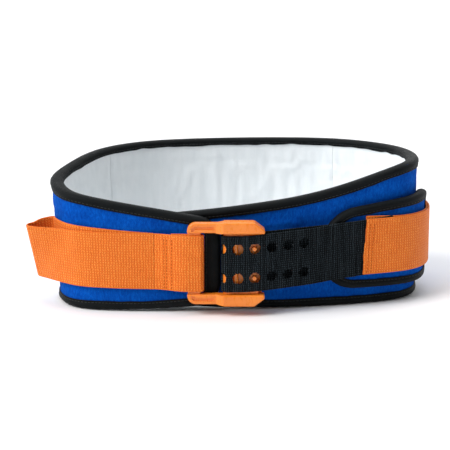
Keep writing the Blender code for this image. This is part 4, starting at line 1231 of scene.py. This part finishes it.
curl_run = strap_route.nearest(NOSE[0] - strap_r, NOSE[1])
front_run = strap_route.nearest(NOSE[0], NOSE[1] - strap_r, start=curl_run)
first_hole = front_run + FIRST_HOLE_X - NOSE[0]
holes = []
column = -3
while FIRST_HOLE_X + column * HOLE_PITCH < LAST_HOLE_X + MM:
    holes += [(first_hole + column * HOLE_PITCH, side * HOLE_ROW) for side in (-1, 1)]
    column += 1

CUT_X = 0.0475  # where the strap is cut into pieces, between two columns of holes
TAIL_X = 0.098
back_cut = strap_route.nearest(CUT_X, -0.0845, start=0, end=curl_run)
front_cut = strap_route.nearest(CUT_X, -0.0948, start=curl_run)
tail_cut = strap_route.nearest(TAIL_X, -0.0745, start=front_run)
BAR_BLEND = ("strap_bar", "buckle", world(0.0285, -0.09, BUCKLE_Z), world(0.047, -0.09, BUCKLE_Z))
BELT_BLEND = ("buckle", "belt", world(0.048, -0.09, BUCKLE_Z), world(0.088, -0.075, BUCKLE_Z))
TAB_BLEND = ("belt", "pull_tab", world(0.114, -0.068, BUCKLE_Z), world(0.124, -0.066, BUCKLE_Z))
FRAYED = [BLACK_WEB, FIBRE]
for name, start, end, paints, replaced, blended in (
    ("strap_back", 0, back_cut, [BLACK_WEB], [], BELT_BLEND),
    ("strap_fold", back_cut, front_cut, FRAYED, ["hole_strap"], BAR_BLEND),
    ("strap_front", front_cut, tail_cut, FRAYED, [], BELT_BLEND),
    ("strap_end", tail_cut, strap_route.length, FRAYED, [], TAB_BLEND),
):
    inside = [h for h in holes if start + HOLE_R < h[0] < end - HOLE_R]
    run = even(start + 0.01 * MM, end - 0.01 * MM, 0.33 * MM)
    piece = webbing_piece(name, strap_route, run, paints, 80 + len(name), ribs=0.10 * MM, holes=inside)
    place(piece, None, replaced, blended)

# Pull tab: webbing doubled over the strap's end
tab_left = BODY.nearest(0.117, -0.053, start=HALFWAY)
tab_back_left = BODY.nearest(0.1195, -0.0515, start=HALFWAY)
tab_far = BODY.nearest(0.172, 0.016, start=HALFWAY)
share = np.arange(13) / 12
outer_out = TAB_OUTER - STEP_OUT * smoothstep(0.32, 0.72, share)
outer_run = beside(tab_left + (tab_far - tab_left) * share, outer_out)
turn_r = STEP_OUT / 2
middle_out = STRAP_LOWER + turn_r
angles = np.radians((30, 60, 90, 120, 150))
tip = beside(tab_far - turn_r * np.sin(angles), middle_out + turn_r * np.cos(angles))
inner_run = beside(tab_far + (tab_back_left - tab_far) * np.arange(10) / 9, STRAP_LOWER + np.zeros(10))
tab_route = Route(
    raise_to(outer_run, 55.4 * MM, 55.0 * MM) + raise_to(tip, 55 * MM, 55 * MM)
    + raise_to(inner_run, 55 * MM, 55.6 * MM)
)


def tab_warp(s, v):
    """The outer layer's raw left end is cut at a slant and a little frayed."""
    frayed = 0.45 * MM * ripple(v, v * 0, 12, 5 * MM, 1) + 0.2 * MM * ripple(v, v * 0, 13, 1.6 * MM, 1)
    cut = 3.4 * MM * (v / WEB_WIDTH) + frayed
    return s + (cut + 1.2 * MM) * (1 - smoothstep(0, 16 * MM, s))


def tab_lift(s, v):
    """The inner layer's left end shows a little above the strap."""
    return 1.7 * MM * smoothstep(tab_route.length - 40 * MM, tab_route.length, s)


tab_web = webbing_piece(
    "tab_webbing", tab_route, even(0, tab_route.length, 1.1 * MM), [ORANGE_WEB], 90, warp=tab_warp,
    lift=tab_lift, waves=0.1 * MM,
)
place(tab_web, "pull_tab", ["pull_tab"])
tab_sewing = sewing("tab_stitching", tab_route, (4.6 * MM, 8.2 * MM), slant=3 * MM)
place(tab_sewing, "pull_tab", ["tab_stitches"])
hook_patch(
    "tab_hook", "pull_tab", pad_start + 12 * MM, tab_back_left - 6 * MM, 34 * MM, 77 * MM, 3 * MM,
    PAD_FACE + GAP + 0.4 * MM, 0.8 * MM,
)

# ---------------------------------------------------------------- buckle

COILS = 5
COIL_STEPS = 28  # points in one turn
WIRE_SIDES = 10


def coil_spring(name, axis_z):
    """A coil of round wire along X between the two spring seats."""
    count = COILS * COIL_STEPS
    t = np.linspace(0, COILS * 2 * math.pi, count + 1)
    x = np.linspace(SPRING_FROM + SPRING_WIRE, SPRING_TO - SPRING_WIRE, count + 1)
    axis = np.stack([x, NOSE[1] + 0 * x, axis_z + 0 * x], -1) + SHIFT
    radial = np.stack([0 * t, np.cos(t), np.sin(t)], -1)
    centre = axis + radial * SPRING_R
    other = unit(np.cross(unit(np.gradient(centre, axis=0)), radial))[:, None]
    turns = np.linspace(0, 2 * math.pi, WIRE_SIDES, endpoint=False)[None, :, None]
    tube = centre[:, None] + (radial[:, None] * np.cos(turns) + other * np.sin(turns)) * SPRING_WIRE
    first, last = range(WIRE_SIDES), range(count * WIRE_SIDES, (count + 1) * WIRE_SIDES)
    faces = [tuple(f) for f in grid_faces(count + 1, WIRE_SIDES, wrap_columns=True)]
    faces += [tuple(first), tuple(last)[::-1]]
    return make(name, tube.reshape(-1, 3), faces, [STEEL])


for name, side in (("upper", 1), ("lower", -1)):
    axis_z = BUCKLE_Z + side * (WINDOW_HALF + 2.5 * MM)
    coil = coil_spring("coil_spring_" + name, axis_z)
    place(coil, "buckle", ["spring_" + name])
    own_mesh(coil)

for name, paint in (
    ("buckle_frame", PLASTIC), ("strap_bar", PLASTIC), ("prong_plate", PLASTIC),
    ("spring_cover_upper", PLASTIC), ("spring_cover_lower", PLASTIC), ("pivot_pin", STEEL),
):
    for slot in frame["nodes"][name].material_slots:
        slot.material = paint

# ---------------------------------------------------------------- floor, light, camera

mesh = bpy.data.meshes.new("studio_floor")
mesh.from_pydata([(-4, -4, 0), (4, -4, 0), (4, 4, 0), (-4, 4, 0)], [], [(0, 1, 2, 3)])
floor = bpy.data.objects.new("studio_floor", mesh)
bpy.context.scene.collection.objects.link(floor)
floor.location.z = -0.05 * MM
ground = Paint("pale_floor", 0.85)
ground.shader.inputs["Base Color"].default_value = (0.93, 0.93, 0.94, 1)
mesh.materials.append(ground.material)

sky = bpy.data.worlds.new("soft_studio")
bpy.context.scene.world = sky
sky.use_nodes = True
backdrop = sky.node_tree.nodes["Background"]
backdrop.inputs["Color"].default_value = (0.98, 0.99, 1.0, 1)
tree = sky.node_tree
direction = tree.nodes.new("ShaderNodeTexCoord")
apart = tree.nodes.new("ShaderNodeSeparateXYZ")
fade = tree.nodes.new("ShaderNodeMapRange")  # the studio is bright behind the belt and dim in front of it
fade.interpolation_type = "SMOOTHSTEP"
for key, value in (("From Min", -0.35), ("From Max", 0.75), ("To Min", 0.18), ("To Max", 1.38)):
    fade.inputs[key].default_value = value
tree.links.new(direction.outputs["Generated"], apart.inputs["Vector"])
tree.links.new(apart.outputs["Y"], fade.inputs["Value"])
tree.links.new(fade.outputs["Result"], backdrop.inputs["Strength"])


scene = bpy.context.scene
top = bpy.data.objects.new("top", bpy.data.lights.new("top", "AREA"))
top.data.shape = "RECTANGLE"
top.data.size, top.data.size_y = 1.2, 1.0
top.data.energy = 9
top.location = (0.0, -0.2, 1.7)
top.rotation_euler = (Vector((0, 0.02, 0.05)) - top.location).to_track_quat("-Z", "Y").to_euler()
scene.collection.objects.link(top)
key = bpy.data.objects.new("key_left", bpy.data.lights.new("key_left", "SUN"))
key.data.energy = 2.65
key.data.angle = math.radians(38)
key.rotation_euler = Vector((1.1, 0.62, -1.05)).to_track_quat("-Z", "Y").to_euler()
scene.collection.objects.link(key)

CAMERA_AWAY = 1.4
CAMERA_RISE = math.radians(12)
target = Vector(world(0, 0, 60 * MM))
camera = bpy.data.objects.new("camera", bpy.data.cameras.new("camera"))
scene.collection.objects.link(camera)
camera.data.lens = 120.8
camera.data.sensor_width = 36
camera.location = target + CAMERA_AWAY * Vector((0, -math.cos(CAMERA_RISE), math.sin(CAMERA_RISE)))
camera.rotation_euler = (target - camera.location).to_track_quat("-Z", "Y").to_euler()
scene.camera = camera
scene.view_settings.view_transform = "Standard"
